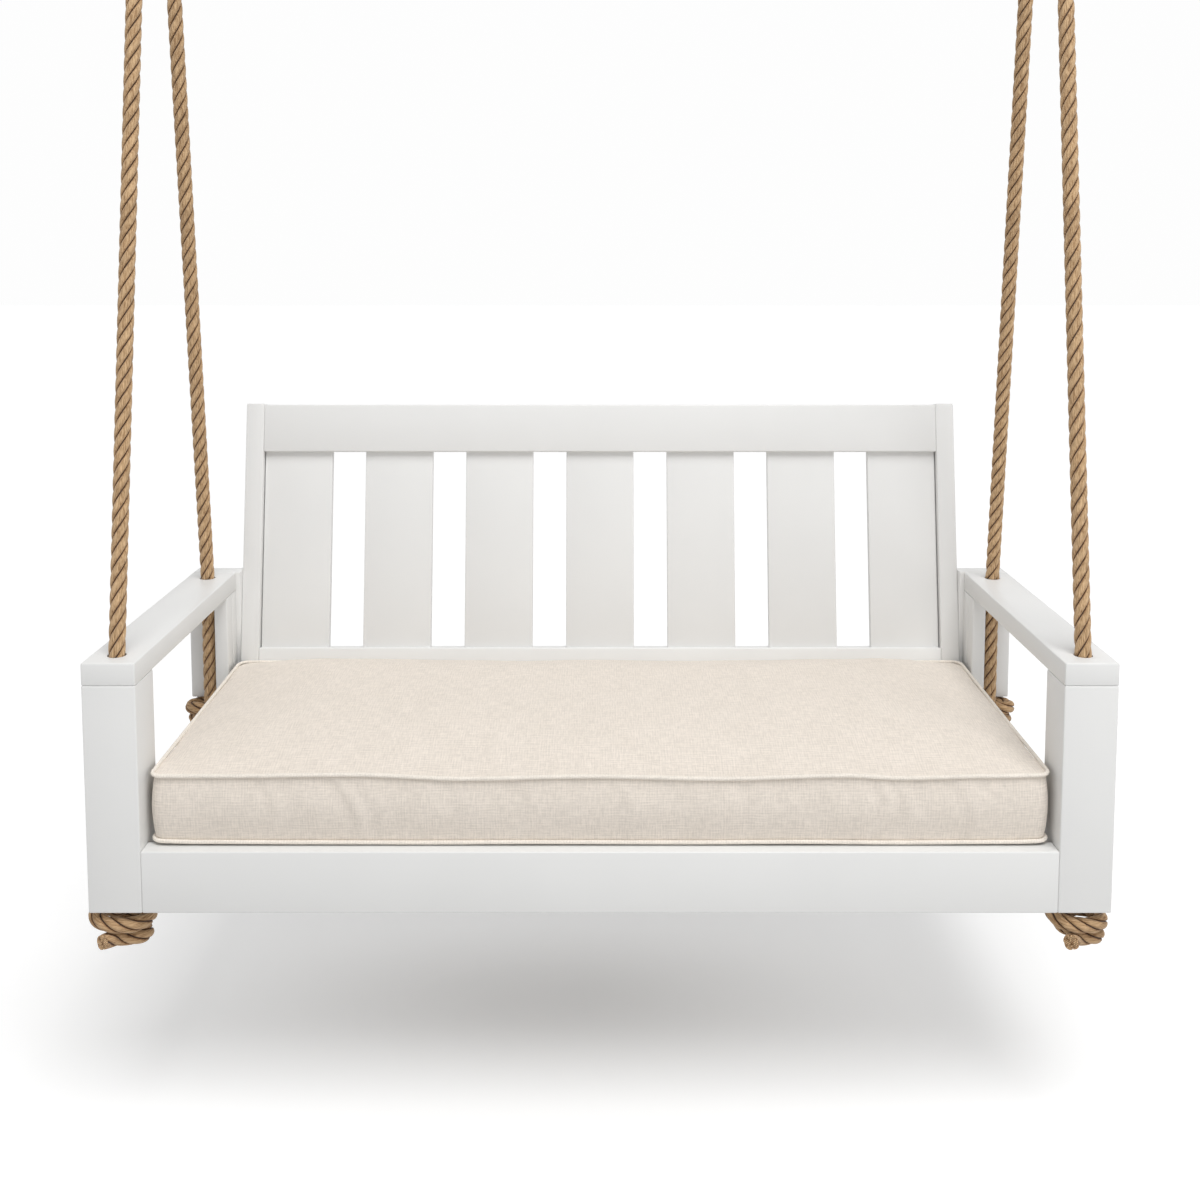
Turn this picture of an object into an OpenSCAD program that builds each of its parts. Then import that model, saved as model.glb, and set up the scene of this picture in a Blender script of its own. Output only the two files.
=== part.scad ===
// Hanging swing bed: a painted slatted bench frame with a boxed seat cushion,
// hung from the ceiling by four ropes.
// Millimetres, +Z up. The origin is the centre of the ceiling plane between
// the four hooks. X is the width and the front of the bed faces -Y.

/* [Seat frame] */
// Clear width between the arms
seat_w = 1524; // [1100:1:1900]
// Depth of the arms, front to back
arm_l = 610; // [560:1:760]
// Thickness of the arm boards
arm_t = 38; // [30:1:50]
// Side of the square front posts, and width of the arms
post_s = 89; // [80:1:110]
// Height from the foot of the posts to the top of the arms
side_h = 426; // [400:1:520]
// Height of the front and rear seat rails
rail_h = 106; // [95:1:125]
// Thickness of the front and rear seat rails
rail_t = 38; // [30:1:50]
// Thickness of the rear posts under the arms
rear_post_t = 32; // [26:1:33]
// Clear height for the rear knots, between the side beams and the feet of the rear posts
rear_knot_room = 63; // [60:1:150]
// Width of the upright guard beside each rear rope
guard_w = 27; // [18:1:27]
// Depth of the upright guard beside each rear rope
guard_d = 38; // [20:1:50]
// Thickness of the boards behind the arms
corner_t = 38; // [30:1:50]
// How far those boards reach in past the arms, to meet the back
corner_in = 9; // [5:1:20]
// Rounding along the edges of the boards
edge_r = 2.5; // [1:0.25:5]

/* [Seat deck] */
// Number of seat slats
seat_slats_n = 14; // [8:1:17]
// Width of a seat slat
seat_slat_w = 70; // [50:1:76]
// Thickness of the seat slats
seat_slat_t = 19; // [15:1:25]
// Side of the square ledgers under the slats
ledger_s = 38; // [30:1:50]

/* [Back] */
// Lean of the back from upright, in degrees
recline = 10.3; // [6:0.1:16]
// Length of the stiles along the slope
stile_l = 676; // [560:1:760]
// Width of a stile, seen from the front
stile_w = 38; // [30:1:50]
// Depth of a stile
stile_d = 64; // [50:1:80]
// Height of the two back rails
back_rail_h = 100; // [80:1:120]
// Thickness of the two back rails
back_rail_t = 38; // [34:1:48]
// How far the top rail stops below the top of the stiles
top_rail_drop = 2.5; // [0:0.5:20]
// Height along the slope from the foot to the top of the bottom rail
bottom_rail_top = 163; // [130:1:200]
// Number of back slats
back_slats_n = 7; // [3:1:7]
// Width of a back slat
back_slat_w = 143; // [90:1:160]
// Thickness of the back slats
back_slat_t = 16; // [10:1:18]
// How far the back slats lie behind the face of the rails
slat_recess = 12; // [6:1:15]
// Depth of the grooves that hold the ends of the back slats
groove_d = 12; // [6:1:20]
// Shadow gap between the stiles and the outer back slats
end_gap = 2; // [1:0.5:10]

/* [Ropes] */
// Diameter of the rope
rope_d = 28; // [20:1:29]
// Diameter of the holes that the ropes run in
rope_hole_d = 31; // [30:0.5:34]
// Distance from the back end of an arm to its rear rope hole
rear_hole_in = 49; // [47:0.5:70]
// Length of a rope's splice below its eye
splice_l = 84; // [60:1:100]
// Thickest diameter of the splice
splice_d = 40; // [34:1:50]
// Inner radius of the thimble's crown
thimble_r = 18; // [14:0.5:24]
// Wall of the thimble
thimble_wall = 3; // [2:0.5:5]
// Width of the thimble
thimble_w = 22; // [14:1:28]

/* [Ceiling hooks] */
// Diameter of the hook's bar
hook_d = 12; // [8:0.5:16]
// Inner width of the hook's bowl
hook_w = 40; // [36:1:60]
// Length of the shank that screws into the ceiling
shank_l = 55; // [40:1:80]
// Diameter of the plate against the ceiling
plate_d = 44; // [30:1:60]
// Thickness of the plate against the ceiling
plate_t = 4; // [2:0.5:8]

/* [Cushion] */
// Gap between the cushion's piping and the arms' inner sides
cushion_side_gap = 7; // [4:0.5:25]
// Height of the cushion's boxing at the front, seam to seam
boxing_h = 115; // [80:1:150]
// How much higher the boxing is at the back
boxing_rise = 14; // [0:1:20]
// Rise of the cushion's crown above the top seam
crown_h = 33; // [5:1:50]
// How far the front piping lies behind the face of the front rail
cushion_front_in = 21; // [5:1:60]
// Gap between the cushion's piping and the back
cushion_back_gap = 1.5; // [1:0.5:20]
// Bulge of the boxing between its two seams
boxing_bulge = 7; // [0:0.5:8]
// Corner radius of the cushion, seen from above
cushion_corner_r = 16; // [10:1:60]
// Thickness of the cover with its wadding
cover_t = 5; // [3:0.5:8]
// Diameter of the piping
piping_d = 7; // [5:0.5:10]
// How far each end of the zip lies in from the cushion's end
zip_end_in = 148; // [60:1:300]
// Width of the zip's tape
zip_w = 30; // [20:1:40]

/* [Hidden] */
$fn = 32;
SIDES = [["left", -1], ["right", 1]];
ENDS = ["front", "rear"];
NODES = concat(
    [for (e = ENDS, s = SIDES, n = ["hook", "thimble", "rope_eye", "rope", "rope_lower", "bottom_knot"])
        str(n, "_", e, "_", s[0])],
    [for (s = SIDES, n = ["arm", "front_post", "rear_post", "rope_guard", "corner_board", "side_beam", "back_stile"])
        str(n, "_", s[0])],
    ["front_rail", "rear_rail", "seat_ledgers", "seat_slats", "back_top_rail", "back_bottom_rail"],
    [for (i = [1:back_slats_n]) str("back_slat_", i)],
    ["arm_dowels", "rail_bolts", "corner_screws", "deck_screws"],
    ["cushion_cover", "cushion_core", "cushion_piping", "cushion_zip", "zip_slider"]);
node = "all";

PAINT = [0.93, 0.93, 0.92];
ROPE = [0.68, 0.54, 0.38];
LINEN = [0.90, 0.87, 0.80];
PIPING = [0.88, 0.84, 0.76];
FOAM = [0.93, 0.90, 0.74];
PINE = [0.82, 0.68, 0.48];
STEEL = [0.62, 0.63, 0.65];

// A sliver of extra length for cuts, and the play left around hidden pieces.
cut = 1;
play = 0.1;

// The rope's path from an arm's hole up to its splice, as steps inwards (X),
// towards the middle of the arm (Y) and up (Z). All four ropes follow it.
rope_route = [
    [0, 0, 0], [0.75, 10, 75], [1.5, 20, 150], [2.25, 30, 225], [3, 40, 300], [3.75, 50, 375],
    [4.5, 60, 450], [5.25, 70, 525], [6, 80, 600], [6.75, 90, 675], [7.5, 100, 750], [8.25, 110, 825],
    [9, 120, 900], [9.75, 130, 975], [10.5, 140, 1050], [11.25, 150, 1125], [12, 160, 1200]];
rope_sides = 10;
rope_r = rope_d / 2;
hole_r = rope_hole_d / 2;
// Half of the open gap where a rope bends at the top of an arm.
bend_gap = 0.45;

// Levels below the arms' top, which is z = 0 in the bed's own frame.
foot_z = -side_h;
deck_z = foot_z + rail_h;
rear_foot_z = deck_z + rear_knot_room;
rear_post_h = -rear_foot_z;

// Plan of the bed: the front faces y = 0, and these are on the right side.
in_x = seat_w / 2;
out_x = in_x + post_s;
rope_x = in_x + post_s / 2;
front_hole_y = post_s / 2;
rear_hole_y = arm_l - rear_hole_in;
mid_y = (front_hole_y + rear_hole_y) / 2;
rear_post_y = arm_l - rear_post_t;
rear_rail_y = arm_l - rail_t;
back_y = arm_l + corner_t;

// The ropes' end, their direction, and where they turn on the hooks.
route_end = rope_route[len(rope_route) - 1];
route_step = route_end - rope_route[len(rope_route) - 2];
route_dir = route_step / norm(route_step);
bar_r = hook_d / 2;
// Play between a thimble and its hook. The rear ropes close the linkage.
// The hook's bowl rises under the thimble's two edges, where the thimble sits.
bowl_rise = hook_w / 2 - sqrt(pow(hook_w / 2, 2) - pow(thimble_w / 2, 2));
function crown_gap(e) = bowl_rise + (e == "front" ? 0.3 : 1.2);
throat_l = 2.9 * thimble_r;
function crown_z(e) = splice_l + play + throat_l + thimble_wall + crown_gap(e) - crown_gap("front");
pivot_up = crown_z("front") + thimble_r - crown_gap("front") - bar_r;
hang_point = route_end + pivot_up * route_dir;

// The hook, from the ceiling down.
bowl_r = (hook_w + hook_d) / 2;
neck_r = bowl_r / 2;
neck_drop = 12;
bowl_leg = 14;
tip_l = 12;
hook_drop = neck_drop + 2 * neck_r + bowl_leg + bowl_r;
hang_h = hang_point[2] + hook_drop;

// The cushion's levels and plan.
cushion_lift = 0.3;
seam_low_z = deck_z + cushion_lift + piping_d / 2;
seam_high_z = seam_low_z + boxing_h;
seam_out = piping_d + play;
cushion_x = in_x - cushion_side_gap - seam_out;
cushion_y0 = cushion_front_in + seam_out;
cushion_y1 = rear_rail_y - (cushion_back_gap + seam_out) / cos(recline) + (seam_low_z - deck_z) * tan(recline);
cushion_l = cushion_y1 - cushion_y0;

// ---------------------------------------------------------------- helpers

function want(name) = node == "all" || node == name;

// From the bed's own frame, with the arms' top at z = 0, to the ceiling's.
module hung() translate([0, -mid_y, -hang_h]) children();

// The right side's shape, or its mirror image on the left.
module on_side(s) mirror([s < 0 ? 1 : 0, 0, 0]) children();

module round_rect(w, h) {
    translate([edge_r, 0]) square([w - 2 * edge_r, h]);
    translate([0, edge_r]) square([w, h - 2 * edge_r]);
    for (x = [edge_r, w - edge_r], y = [edge_r, h - edge_r])
        translate([x, y]) circle(edge_r);
}

// Boards with their long edges rounded, named for the way they run.
module board_x(l, d, h) rotate([90, 0, 90]) linear_extrude(l) round_rect(d, h);
module board_y(w, l, h) translate([0, l, 0]) rotate([90, 0, 0]) linear_extrude(l) round_rect(w, h);
module board_z(w, d, l) linear_extrude(l) round_rect(w, d);

// A rope hole along Z through whatever lies between two levels.
module rope_hole(y, z0, z1) translate([rope_x, y, z0 - cut]) cylinder(r = hole_r, h = z1 - z0 + 2 * cut);

// A bar bent round part of a circle in the XY plane, from angle a0 on.
module bent_bar(r, bar, a0, turn) rotate(a0) rotate_extrude(angle = turn) translate([r, 0]) circle(bar);

// A bar between two points, and a point's distance along it.
module rod(a, b, r) {
    d = b - a;
    translate(a) rotate([0, acos(d[2] / norm(d)), atan2(d[1], d[0])]) cylinder(r = r, h = norm(d));
}

// ---------------------------------------------------------------- fasteners

// Dowels that stand half in an arm and half in the post under it.
dowel_r = 5;
dowel_l = 50;
dowel_off = 28;
function dowel_spots() = [for (x = [-dowel_off, dowel_off], y = [front_hole_y, rear_post_y + rear_post_t / 2])
    [rope_x + x, y, -arm_t - dowel_l / 2]];
module dowels(extra) for (p = dowel_spots())
    translate(p - [0, 0, extra]) cylinder(r = dowel_r + extra, h = dowel_l + 2 * extra);

// Bolts from the outer side through a post or beam into a rail's end.
bolt_r = 4;
bolt_head_r = 9;
bolt_head_l = 8;
bolt_sink = 10;
bolt_l = post_s - bolt_sink + 60;
bolt_edge = 26;
function bolt_spots() = [for (y = [rail_t / 2, arm_l - rail_t / 2], z = [foot_z + bolt_edge, deck_z - bolt_edge])
    [out_x - bolt_sink, y, z]];
module bolts(extra) for (p = bolt_spots()) translate(p) rotate([0, -90, 0]) {
    translate([0, 0, -extra]) cylinder(r = bolt_r + extra, h = bolt_l + 2 * extra);
    translate([0, 0, extra > 0 ? -bolt_sink - cut : -bolt_head_l])
        cylinder(r = bolt_head_r + extra, h = extra > 0 ? bolt_sink + cut : bolt_head_l);
}

// Screws from behind through a corner board, and from inside through a stile.
screw_r = 3;
screw_head_r = 6;
screw_head_l = 4;
screw_l = 56;
screw_sink = 6;
screw_in = 50;
stile_screws_up = [32, 105];
corner_inner_x = in_x - corner_in;
stile_x = corner_inner_x - stile_w;
stile_screw_y = arm_l + corner_t / 2;
module screw(extra) {
    translate([0, 0, -extra]) cylinder(r = screw_r + extra, h = screw_l + 2 * extra);
    translate([0, 0, extra > 0 ? -screw_sink - cut : -screw_head_l])
        cylinder(r = screw_head_r + extra, h = extra > 0 ? screw_sink + cut : screw_head_l);
}
module rear_screws(extra)
    for (z = [foot_z + rail_h / 2, rear_foot_z + screw_in, -arm_t - screw_in, -arm_t / 2])
        translate([rope_x, back_y - screw_sink, z]) rotate([90, 0, 0]) screw(extra);
module stile_screws(extra)
    for (up = stile_screws_up)
        translate([stile_x + screw_sink, stile_screw_y, deck_z + up]) rotate([0, 90, 0]) screw(extra);

// Screws down through the seat slats into the ledgers.
deck_screw_r = 2.2;
deck_head_r = 4.5;
deck_head_l = 3.5;
deck_screw_l = 45;
slat_pitch = seat_w / seat_slats_n;
function seat_slat_x(i) = -in_x + (i + 0.5) * slat_pitch;
module deck_screw(extra) {
    translate([0, 0, -deck_screw_l - extra]) cylinder(r = deck_screw_r + extra, h = deck_screw_l);
    translate([0, 0, -deck_head_l]) cylinder(r1 = deck_screw_r + extra, r2 = deck_head_r + extra, h = deck_head_l + extra);
}
module deck_screws_at(extra)
    for (i = [0:seat_slats_n - 1], y = [rail_t + ledger_s / 2, rear_rail_y - ledger_s / 2])
        translate([seat_slat_x(i), y, deck_z - play]) deck_screw(extra);

// ---------------------------------------------------------------- timber

module arm() color(PAINT) difference() {
    translate([in_x, 0, -arm_t]) board_y(post_s, arm_l, arm_t);
    for (y = [front_hole_y, rear_hole_y]) rope_hole(y, -arm_t, 0);
    dowels(play);
    rear_screws(play);
}

module front_post() color(PAINT) difference() {
    translate([in_x, 0, foot_z]) board_z(post_s, post_s, side_h - arm_t);
    rope_hole(front_hole_y, foot_z, -arm_t);
    dowels(play);
    bolts(play);
}

module rear_post() color(PAINT) difference() {
    translate([in_x, rear_post_y, rear_foot_z]) board_z(post_s, rear_post_t, rear_post_h - arm_t);
    dowels(play);
    rear_screws(play);
}

module rope_guard() color(PAINT)
    translate([in_x, rear_post_y - guard_d, rear_foot_z]) board_z(guard_w, guard_d, rear_post_h - arm_t);

module side_beam() color(PAINT) difference() {
    translate([in_x, post_s, foot_z]) board_y(post_s, arm_l - post_s, rail_h);
    bolts(play);
    rear_screws(play);
}

module corner_board() color(PAINT) difference() {
    translate([corner_inner_x, arm_l, foot_z]) board_z(post_s + corner_in, corner_t, side_h);
    rear_screws(play);
    stile_screws(play);
}

module seat_rail(y) color(PAINT) difference() {
    translate([-in_x, y, foot_z]) board_x(seat_w, rail_t, rail_h);
    for (s = SIDES) on_side(s[1]) bolts(play);
}

module seat_ledgers() color(PINE) difference() {
    for (y = [rail_t, rear_rail_y - ledger_s])
        translate([-in_x, y, deck_z - seat_slat_t - ledger_s]) cube([seat_w, ledger_s, ledger_s]);
    deck_screws_at(play);
}

module seat_slats() color(PAINT) difference() {
    for (i = [0:seat_slats_n - 1])
        translate([seat_slat_x(i) - seat_slat_w / 2, rail_t, deck_z - seat_slat_t])
            board_y(seat_slat_w, rear_rail_y - rail_t, seat_slat_t);
    deck_screws_at(play);
}

// The back's own frame: its foot at the front of the rear rail, z up the slope.
module up_the_back() translate([0, rear_rail_y, deck_z]) rotate([-recline, 0, 0]) children();

module back_stile() color(PAINT) difference() {
    up_the_back() translate([stile_x, 0, -stile_d]) board_z(stile_w, stile_d, stile_l + stile_d);
    translate([0, 0, deck_z - 4 * stile_d]) cube([out_x, 2 * arm_l, 4 * stile_d]);
    stile_screws(play);
}

top_rail_z = stile_l - top_rail_drop - back_rail_h;
groove_play = 0.2;
module back_rail(z, groove_z) color(PAINT) up_the_back() difference() {
    translate([-stile_x, 0, z]) board_x(2 * stile_x, back_rail_t, back_rail_h);
    translate([-stile_x - cut, slat_recess - groove_play, groove_z])
        cube([2 * (stile_x + cut), back_slat_t + 2 * groove_play, groove_d]);
}
module back_top_rail() back_rail(top_rail_z, top_rail_z);
module back_bottom_rail() back_rail(bottom_rail_top - back_rail_h, bottom_rail_top - groove_d);

back_pitch = (2 * (stile_x - end_gap) - back_slat_w) / (back_slats_n - 1);
module back_slat(i) color(PAINT) up_the_back()
    translate([-stile_x + end_gap + i * back_pitch, slat_recess, bottom_rail_top - groove_d])
        board_z(back_slat_w, back_slat_t, top_rail_z - bottom_rail_top + 2 * groove_d);

// ---------------------------------------------------------------- ropes

// The height of a hole's rope path, and its sideways and fore-aft sense.
function hole_y(e) = e == "front" ? front_hole_y : rear_hole_y;
function inwards(e) = e == "front" ? 1 : -1;
function route_point(p, e, s) = [s * (rope_x - p[0]), hole_y(e) + inwards(e) * p[1], p[2]];
function rope_way(e, s) = [-s * route_dir[0], inwards(e) * route_dir[1], route_dir[2]];

// A ring of points round p, square to the unit vector n.
function ring(p, n, r, sides) = let (u = cross([0, 1, 0], n), u1 = u / norm(u), v = cross(n, u1))
    [for (k = [0:sides - 1]) p + r * (cos(360 * k / sides) * u1 + sin(360 * k / sides) * v)];

// A closed skin over rings of the same count of points, each end a fan.
module skin(rings, low, high) {
    n = len(rings[0]);
    m = len(rings);
    points = concat([for (q = rings) each q], [low, high]);
    walls = [for (j = [0:m - 2], k = [0:n - 1]) let (a = j * n + k, b = j * n + (k + 1) % n)
        each [[a, b + n, b], [a, a + n, b + n]]];
    bottom = [for (k = [0:n - 1]) [k, (k + 1) % n, m * n]];
    top = [for (k = [0:n - 1]) [(m - 1) * n + (k + 1) % n, (m - 1) * n + k, m * n + 1]];
    polyhedron(points, concat(walls, bottom, top));
}

// The free rope: it starts level, just clear of the arm's top.
module rope(e, s) color(ROPE) {
    way = rope_way(e, s);
    path = concat([route_point(rope_route[0], e, s) + bend_gap * way / way[2]],
        [for (i = [1:len(rope_route) - 1]) route_point(rope_route[i], e, s)]);
    rings = [for (i = [0:len(path) - 1]) ring(path[i], i == 0 ? [0, 0, 1] : way, rope_r, rope_sides)];
    skin(rings, path[0], path[len(path) - 1]);
}

// The frame of a rope's splice and eye: z runs on along the rope.
module along_rope(e, s) {
    way = rope_way(e, s);
    translate(route_point(route_end, e, s))
        rotate([-asin(way[1]), atan2(way[0], way[2]), 0]) children();
}

// A teardrop round the crown, with its point at the throat, in the YZ plane.
function tear_lean(r) = asin(r / (throat_l + r - thimble_r));
module teardrop(r) {
    lean = tear_lean(r);
    circle(r);
    polygon([[0, -r / sin(lean)], [r * cos(lean), -r * sin(lean)], [-r * cos(lean), -r * sin(lean)]]);
}

module thimble(e, s) color(STEEL) along_rope(e, s) translate([0, 0, crown_z(e)]) rotate([90, 0, 90])
    translate([0, 0, -thimble_w / 2]) linear_extrude(thimble_w) difference() {
        teardrop(thimble_r + thimble_wall);
        teardrop(thimble_r);
    }

eye_rope_r = 0.88 * rope_r;
eye_r = thimble_r + thimble_wall + eye_rope_r + play;
eye_lean = tear_lean(thimble_r + thimble_wall);
module rope_eye(e, s) color(ROPE) along_rope(e, s) {
    cylinder(r1 = rope_r, r2 = splice_d / 2, h = 0.45 * splice_l);
    translate([0, 0, 0.45 * splice_l]) cylinder(r = splice_d / 2, h = 0.55 * splice_l);
    translate([0, 0, crown_z(e)]) rotate([90, 0, 90]) {
        bent_bar(eye_r, eye_rope_r, -eye_lean, 180 + 2 * eye_lean);
        for (q = [-1, 1]) rod([q * (eye_r * cos(eye_lean) + 2 * sin(eye_lean)), 2 * cos(eye_lean) - eye_r * sin(eye_lean), 0],
            [0, -eye_r / sin(eye_lean), 0], 0.97 * eye_rope_r);
    }
}

// The stopper knot under each post is the rope itself, led round its own start
// and out below as a tail. These points run from the hole's mouth, as steps
// along the tail's side (-X), back (Y) and up (Z). At knot_top_z the rope bears
// against the wood.
knot_r = 12.5;
knot_sides = 8;
knot_top_z = -knot_r - play;
front_knot = [
    [0, 0, 0], [0, 0, -6], [-2, 0, -11], [-7, 1, -15], [-15, 3, -17], [-26, 4, -16], [-36, 2, knot_top_z],
    [-42, -4, knot_top_z], [-44, -12, knot_top_z], [-42, -20, -17], [-36, -26, -21], [-27, -30, -24],
    [-12, -31, -27], [2, -31, -28], [14, -30, -28], [24, -28, -28], [32, -24, -27], [38, -17, -27],
    [40, -8, -27], [40, 2, -27], [39, 11, -27], [37, 19, -28], [31, 26, -28], [22, 30, -29], [13, 31, -30],
    [4, 31, -31], [-4, 31, -33], [-11, 29, -35], [-17, 26, -39], [-19, 22, -45], [-17, 18, -51], [-11, 14, -55],
    [-4, 13, -56], [4, 12, -56], [13, 11, -56], [22, 11, -55], [29, 9, -55], [35, 4, -54], [37, -4, -54],
    [35, -11, -54], [29, -16, -54], [22, -19, -54], [12, -20, -54], [3, -21, -54], [-5, -24, -54],
    [-11, -30, -53], [-15, -38, -53], [-17, -47, -52]];
rear_knot = [
    [0, 0, 0], [0, 0, -6], [-2, 0, -11], [-7, -1, -15], [-15, -3, -17], [-25, -4, -17], [-34, -2, -17],
    [-40, 4, -17], [-42, 12, -17], [-40, 20, -17], [-34, 26, -17], [-25, 29, -17], [-12, 30, -16],
    [2, 30, -15], [17, 28, -14], [31, 22, knot_top_z], [38, 12, knot_top_z], [40, 0, knot_top_z],
    [38, -12, -15], [31, -21, -20], [18, -25, -27], [4, -23, -34], [-9, -15, -40], [-20, -4, -43], [-30, 9, -44],
    [-38, 20, -44]];
// A rear knot works its way a little outwards, clear of the cushion.
rear_knot_out = 3;
function rope_foot_z(e) = e == "front" ? foot_z : rear_foot_z;

// Each inner point moves half way to the middle of its neighbours.
function softened(p) = [for (i = [0:len(p) - 1])
    i == 0 || i == len(p) - 1 ? p[i] : (p[i - 1] + 2 * p[i] + p[i + 1]) / 4];
function unit(v) = v / norm(v);
// Rings along a path, each turned from the last one by the least twist.
function along(p, r, sides) =
    let (m = len(p) - 1, n = [for (i = [0:m]) i == 0 ? [0, 0, -1] : unit(p[min(i + 1, m)] - p[i - 1])])
    let (u = [for (i = 0, q = [1, 0, 0]; i <= m; i = i + 1, q = i > m ? q : unit(q - (q * n[i]) * n[i])) q])
    [for (i = [0:m]) let (v = cross(n[i], u[i]))
        [for (k = [0:sides - 1]) p[i] + r * (cos(360 * k / sides) * u[i] + sin(360 * k / sides) * v)]];

module bottom_knot(e, s) color(ROPE) translate([s * rope_x, hole_y(e), rope_foot_z(e)]) {
    tail = e == "front" ? -1 : s;
    steps = e == "front" ? front_knot : rear_knot;
    out = e == "front" ? 0 : rear_knot_out;
    path = softened([for (i = [0:len(steps) - 1])
        [tail * (out * min(i / 8, 1) - steps[i][0]), steps[i][1], steps[i][2]]]);
    skin(along(path, knot_r, knot_sides), path[0], path[len(path) - 1]);
}

// The rope that the bed holds: from the arm's top down to the knot.
module rope_lower(e, s) color(ROPE) translate([s * rope_x, hole_y(e), rope_foot_z(e)])
    cylinder(r = rope_r, h = -bend_gap - rope_foot_z(e));

// ---------------------------------------------------------------- hooks

// The bowl opens upwards on the right and its lowest point carries the rope.
module hook(e, s) color(STEEL) {
    translate(route_point([hang_point[0], hang_point[1], hang_h], e, s)) {
        cylinder(r = bar_r, h = shank_l);
        translate([0, 0, -plate_t]) cylinder(d = plate_d, h = plate_t);
        translate([0, 0, -neck_drop]) cylinder(r = bar_r, h = neck_drop);
        translate([0, 0, -neck_drop]) rotate([90, 0, 0]) {
            translate([-neck_r, 0, 0]) bent_bar(neck_r, bar_r, -90, 90);
            translate([-neck_r, -2 * neck_r, 0]) bent_bar(neck_r, bar_r, 90, 90);
            translate([0, -2 * neck_r - bowl_leg, 0]) bent_bar(bowl_r, bar_r, 180, 180);
        }
        translate([-bowl_r, 0, bowl_r - hook_drop]) cylinder(r = bar_r, h = bowl_leg);
        translate([bowl_r, 0, bowl_r - hook_drop]) cylinder(r = bar_r, h = tip_l);
        translate([bowl_r, 0, bowl_r - hook_drop + tip_l]) sphere(bar_r);
    }
}

// ---------------------------------------------------------------- cushion

// The cushion's plan drawn in by d: corners of 6 points and sides between.
side_parts = [10, 4, 10, 4];
function plan(d) = let (r = max(cushion_corner_r - d, 2), x = cushion_x - d - r, y0 = cushion_y0 + d + r,
        y1 = cushion_y1 - d - r, c = [[x, y0], [x, y1], [-x, y1], [-x, y0]])
    [for (q = [0:3], k = [0:5 + side_parts[(q + 1) % 4]]) let (a = 90 * q - 90, n = k < 6 ? a + 18 * k : a + 90,
            t = k < 6 ? 0 : (k - 5) / (side_parts[(q + 1) % 4] + 1), b = c[(q + 1) % 4])
        [c[q][0] + r * cos(n) + t * (b[0] - c[q][0]), c[q][1] + r * sin(n) + t * (b[1] - c[q][1]), n]];

// The boxing grows towards the back, which leans with the frame. The front
// stands upright.
function lean_back(p) = let (back = (p[1] - cushion_y0) / cushion_l,
        z = p[2] + boxing_rise * back * max((p[2] - seam_low_z) / boxing_h, 0))
    [p[0], p[1] + (z - seam_low_z) * tan(recline) * back, z];

// One ring of the cushion, drawn in by d, at height z, bulged out by b
// except at the back, which is flat for the zip.
function cushion_ring(d, z, b) = [for (p = plan(d)) let (out = sin(p[2]) > 0.4 ? 0 : b)
    lean_back([p[0] + out * cos(p[2]), p[1] + out * sin(p[2]), z])];

// How far in the crown keeps rising, and the cushion's form in all.
crown_run = 140;
function crown_at(d) = crown_h * (1 - pow(1 - min(d, crown_run) / crown_run, 3));
module cushion_form(d) {
    low = seam_low_z - piping_d / 2 + d;
    high = seam_high_z - d;
    box = high - seam_low_z - d;
    rings = concat(
        [cushion_ring(12 + d, low, 0), cushion_ring(d, seam_low_z + d, 0)],
        [for (t = [0.2, 0.5, 0.8]) cushion_ring(d, seam_low_z + d + t * box, boxing_bulge * sin(180 * t))],
        [cushion_ring(d, high, 0)],
        [for (w = [0.08, 0.22, 0.42, 0.68, 1] * crown_run) cushion_ring(d + w, high + crown_at(w), 0)]);
    mid = (cushion_y0 + cushion_y1) / 2;
    skin(rings, lean_back([0, mid, low]), lean_back([0, mid, high + crown_h + 0.5]));
}

module cushion_cover() color(LINEN) difference() {
    cushion_form(0);
    cushion_form(cover_t);
}

core_play = 0.3;
module cushion_core() color(FOAM) cushion_form(cover_t + core_play);

// Piping along the outside of both seams.
piping_sides = 6;
module piping_ring(z) {
    edge = [for (p = plan(0)) [for (k = [0:piping_sides - 1]) let (w = play + piping_d / 2 * (1 + cos(360 * k / piping_sides)))
        lean_back([p[0] + w * cos(p[2]), p[1] + w * sin(p[2]), z + piping_d / 2 * sin(360 * k / piping_sides)])]];
    n = len(edge);
    polyhedron([for (q = edge) each q], [for (j = [0:n - 1], k = [0:piping_sides - 1])
        let (j2 = (j + 1) % n, k2 = (k + 1) % piping_sides)
        each [[j * piping_sides + k, j2 * piping_sides + k, j2 * piping_sides + k2],
            [j * piping_sides + k, j2 * piping_sides + k2, j * piping_sides + k2]]]);
}
module cushion_piping() color(PIPING) {
    piping_ring(seam_low_z);
    piping_ring(seam_high_z);
}

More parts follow.
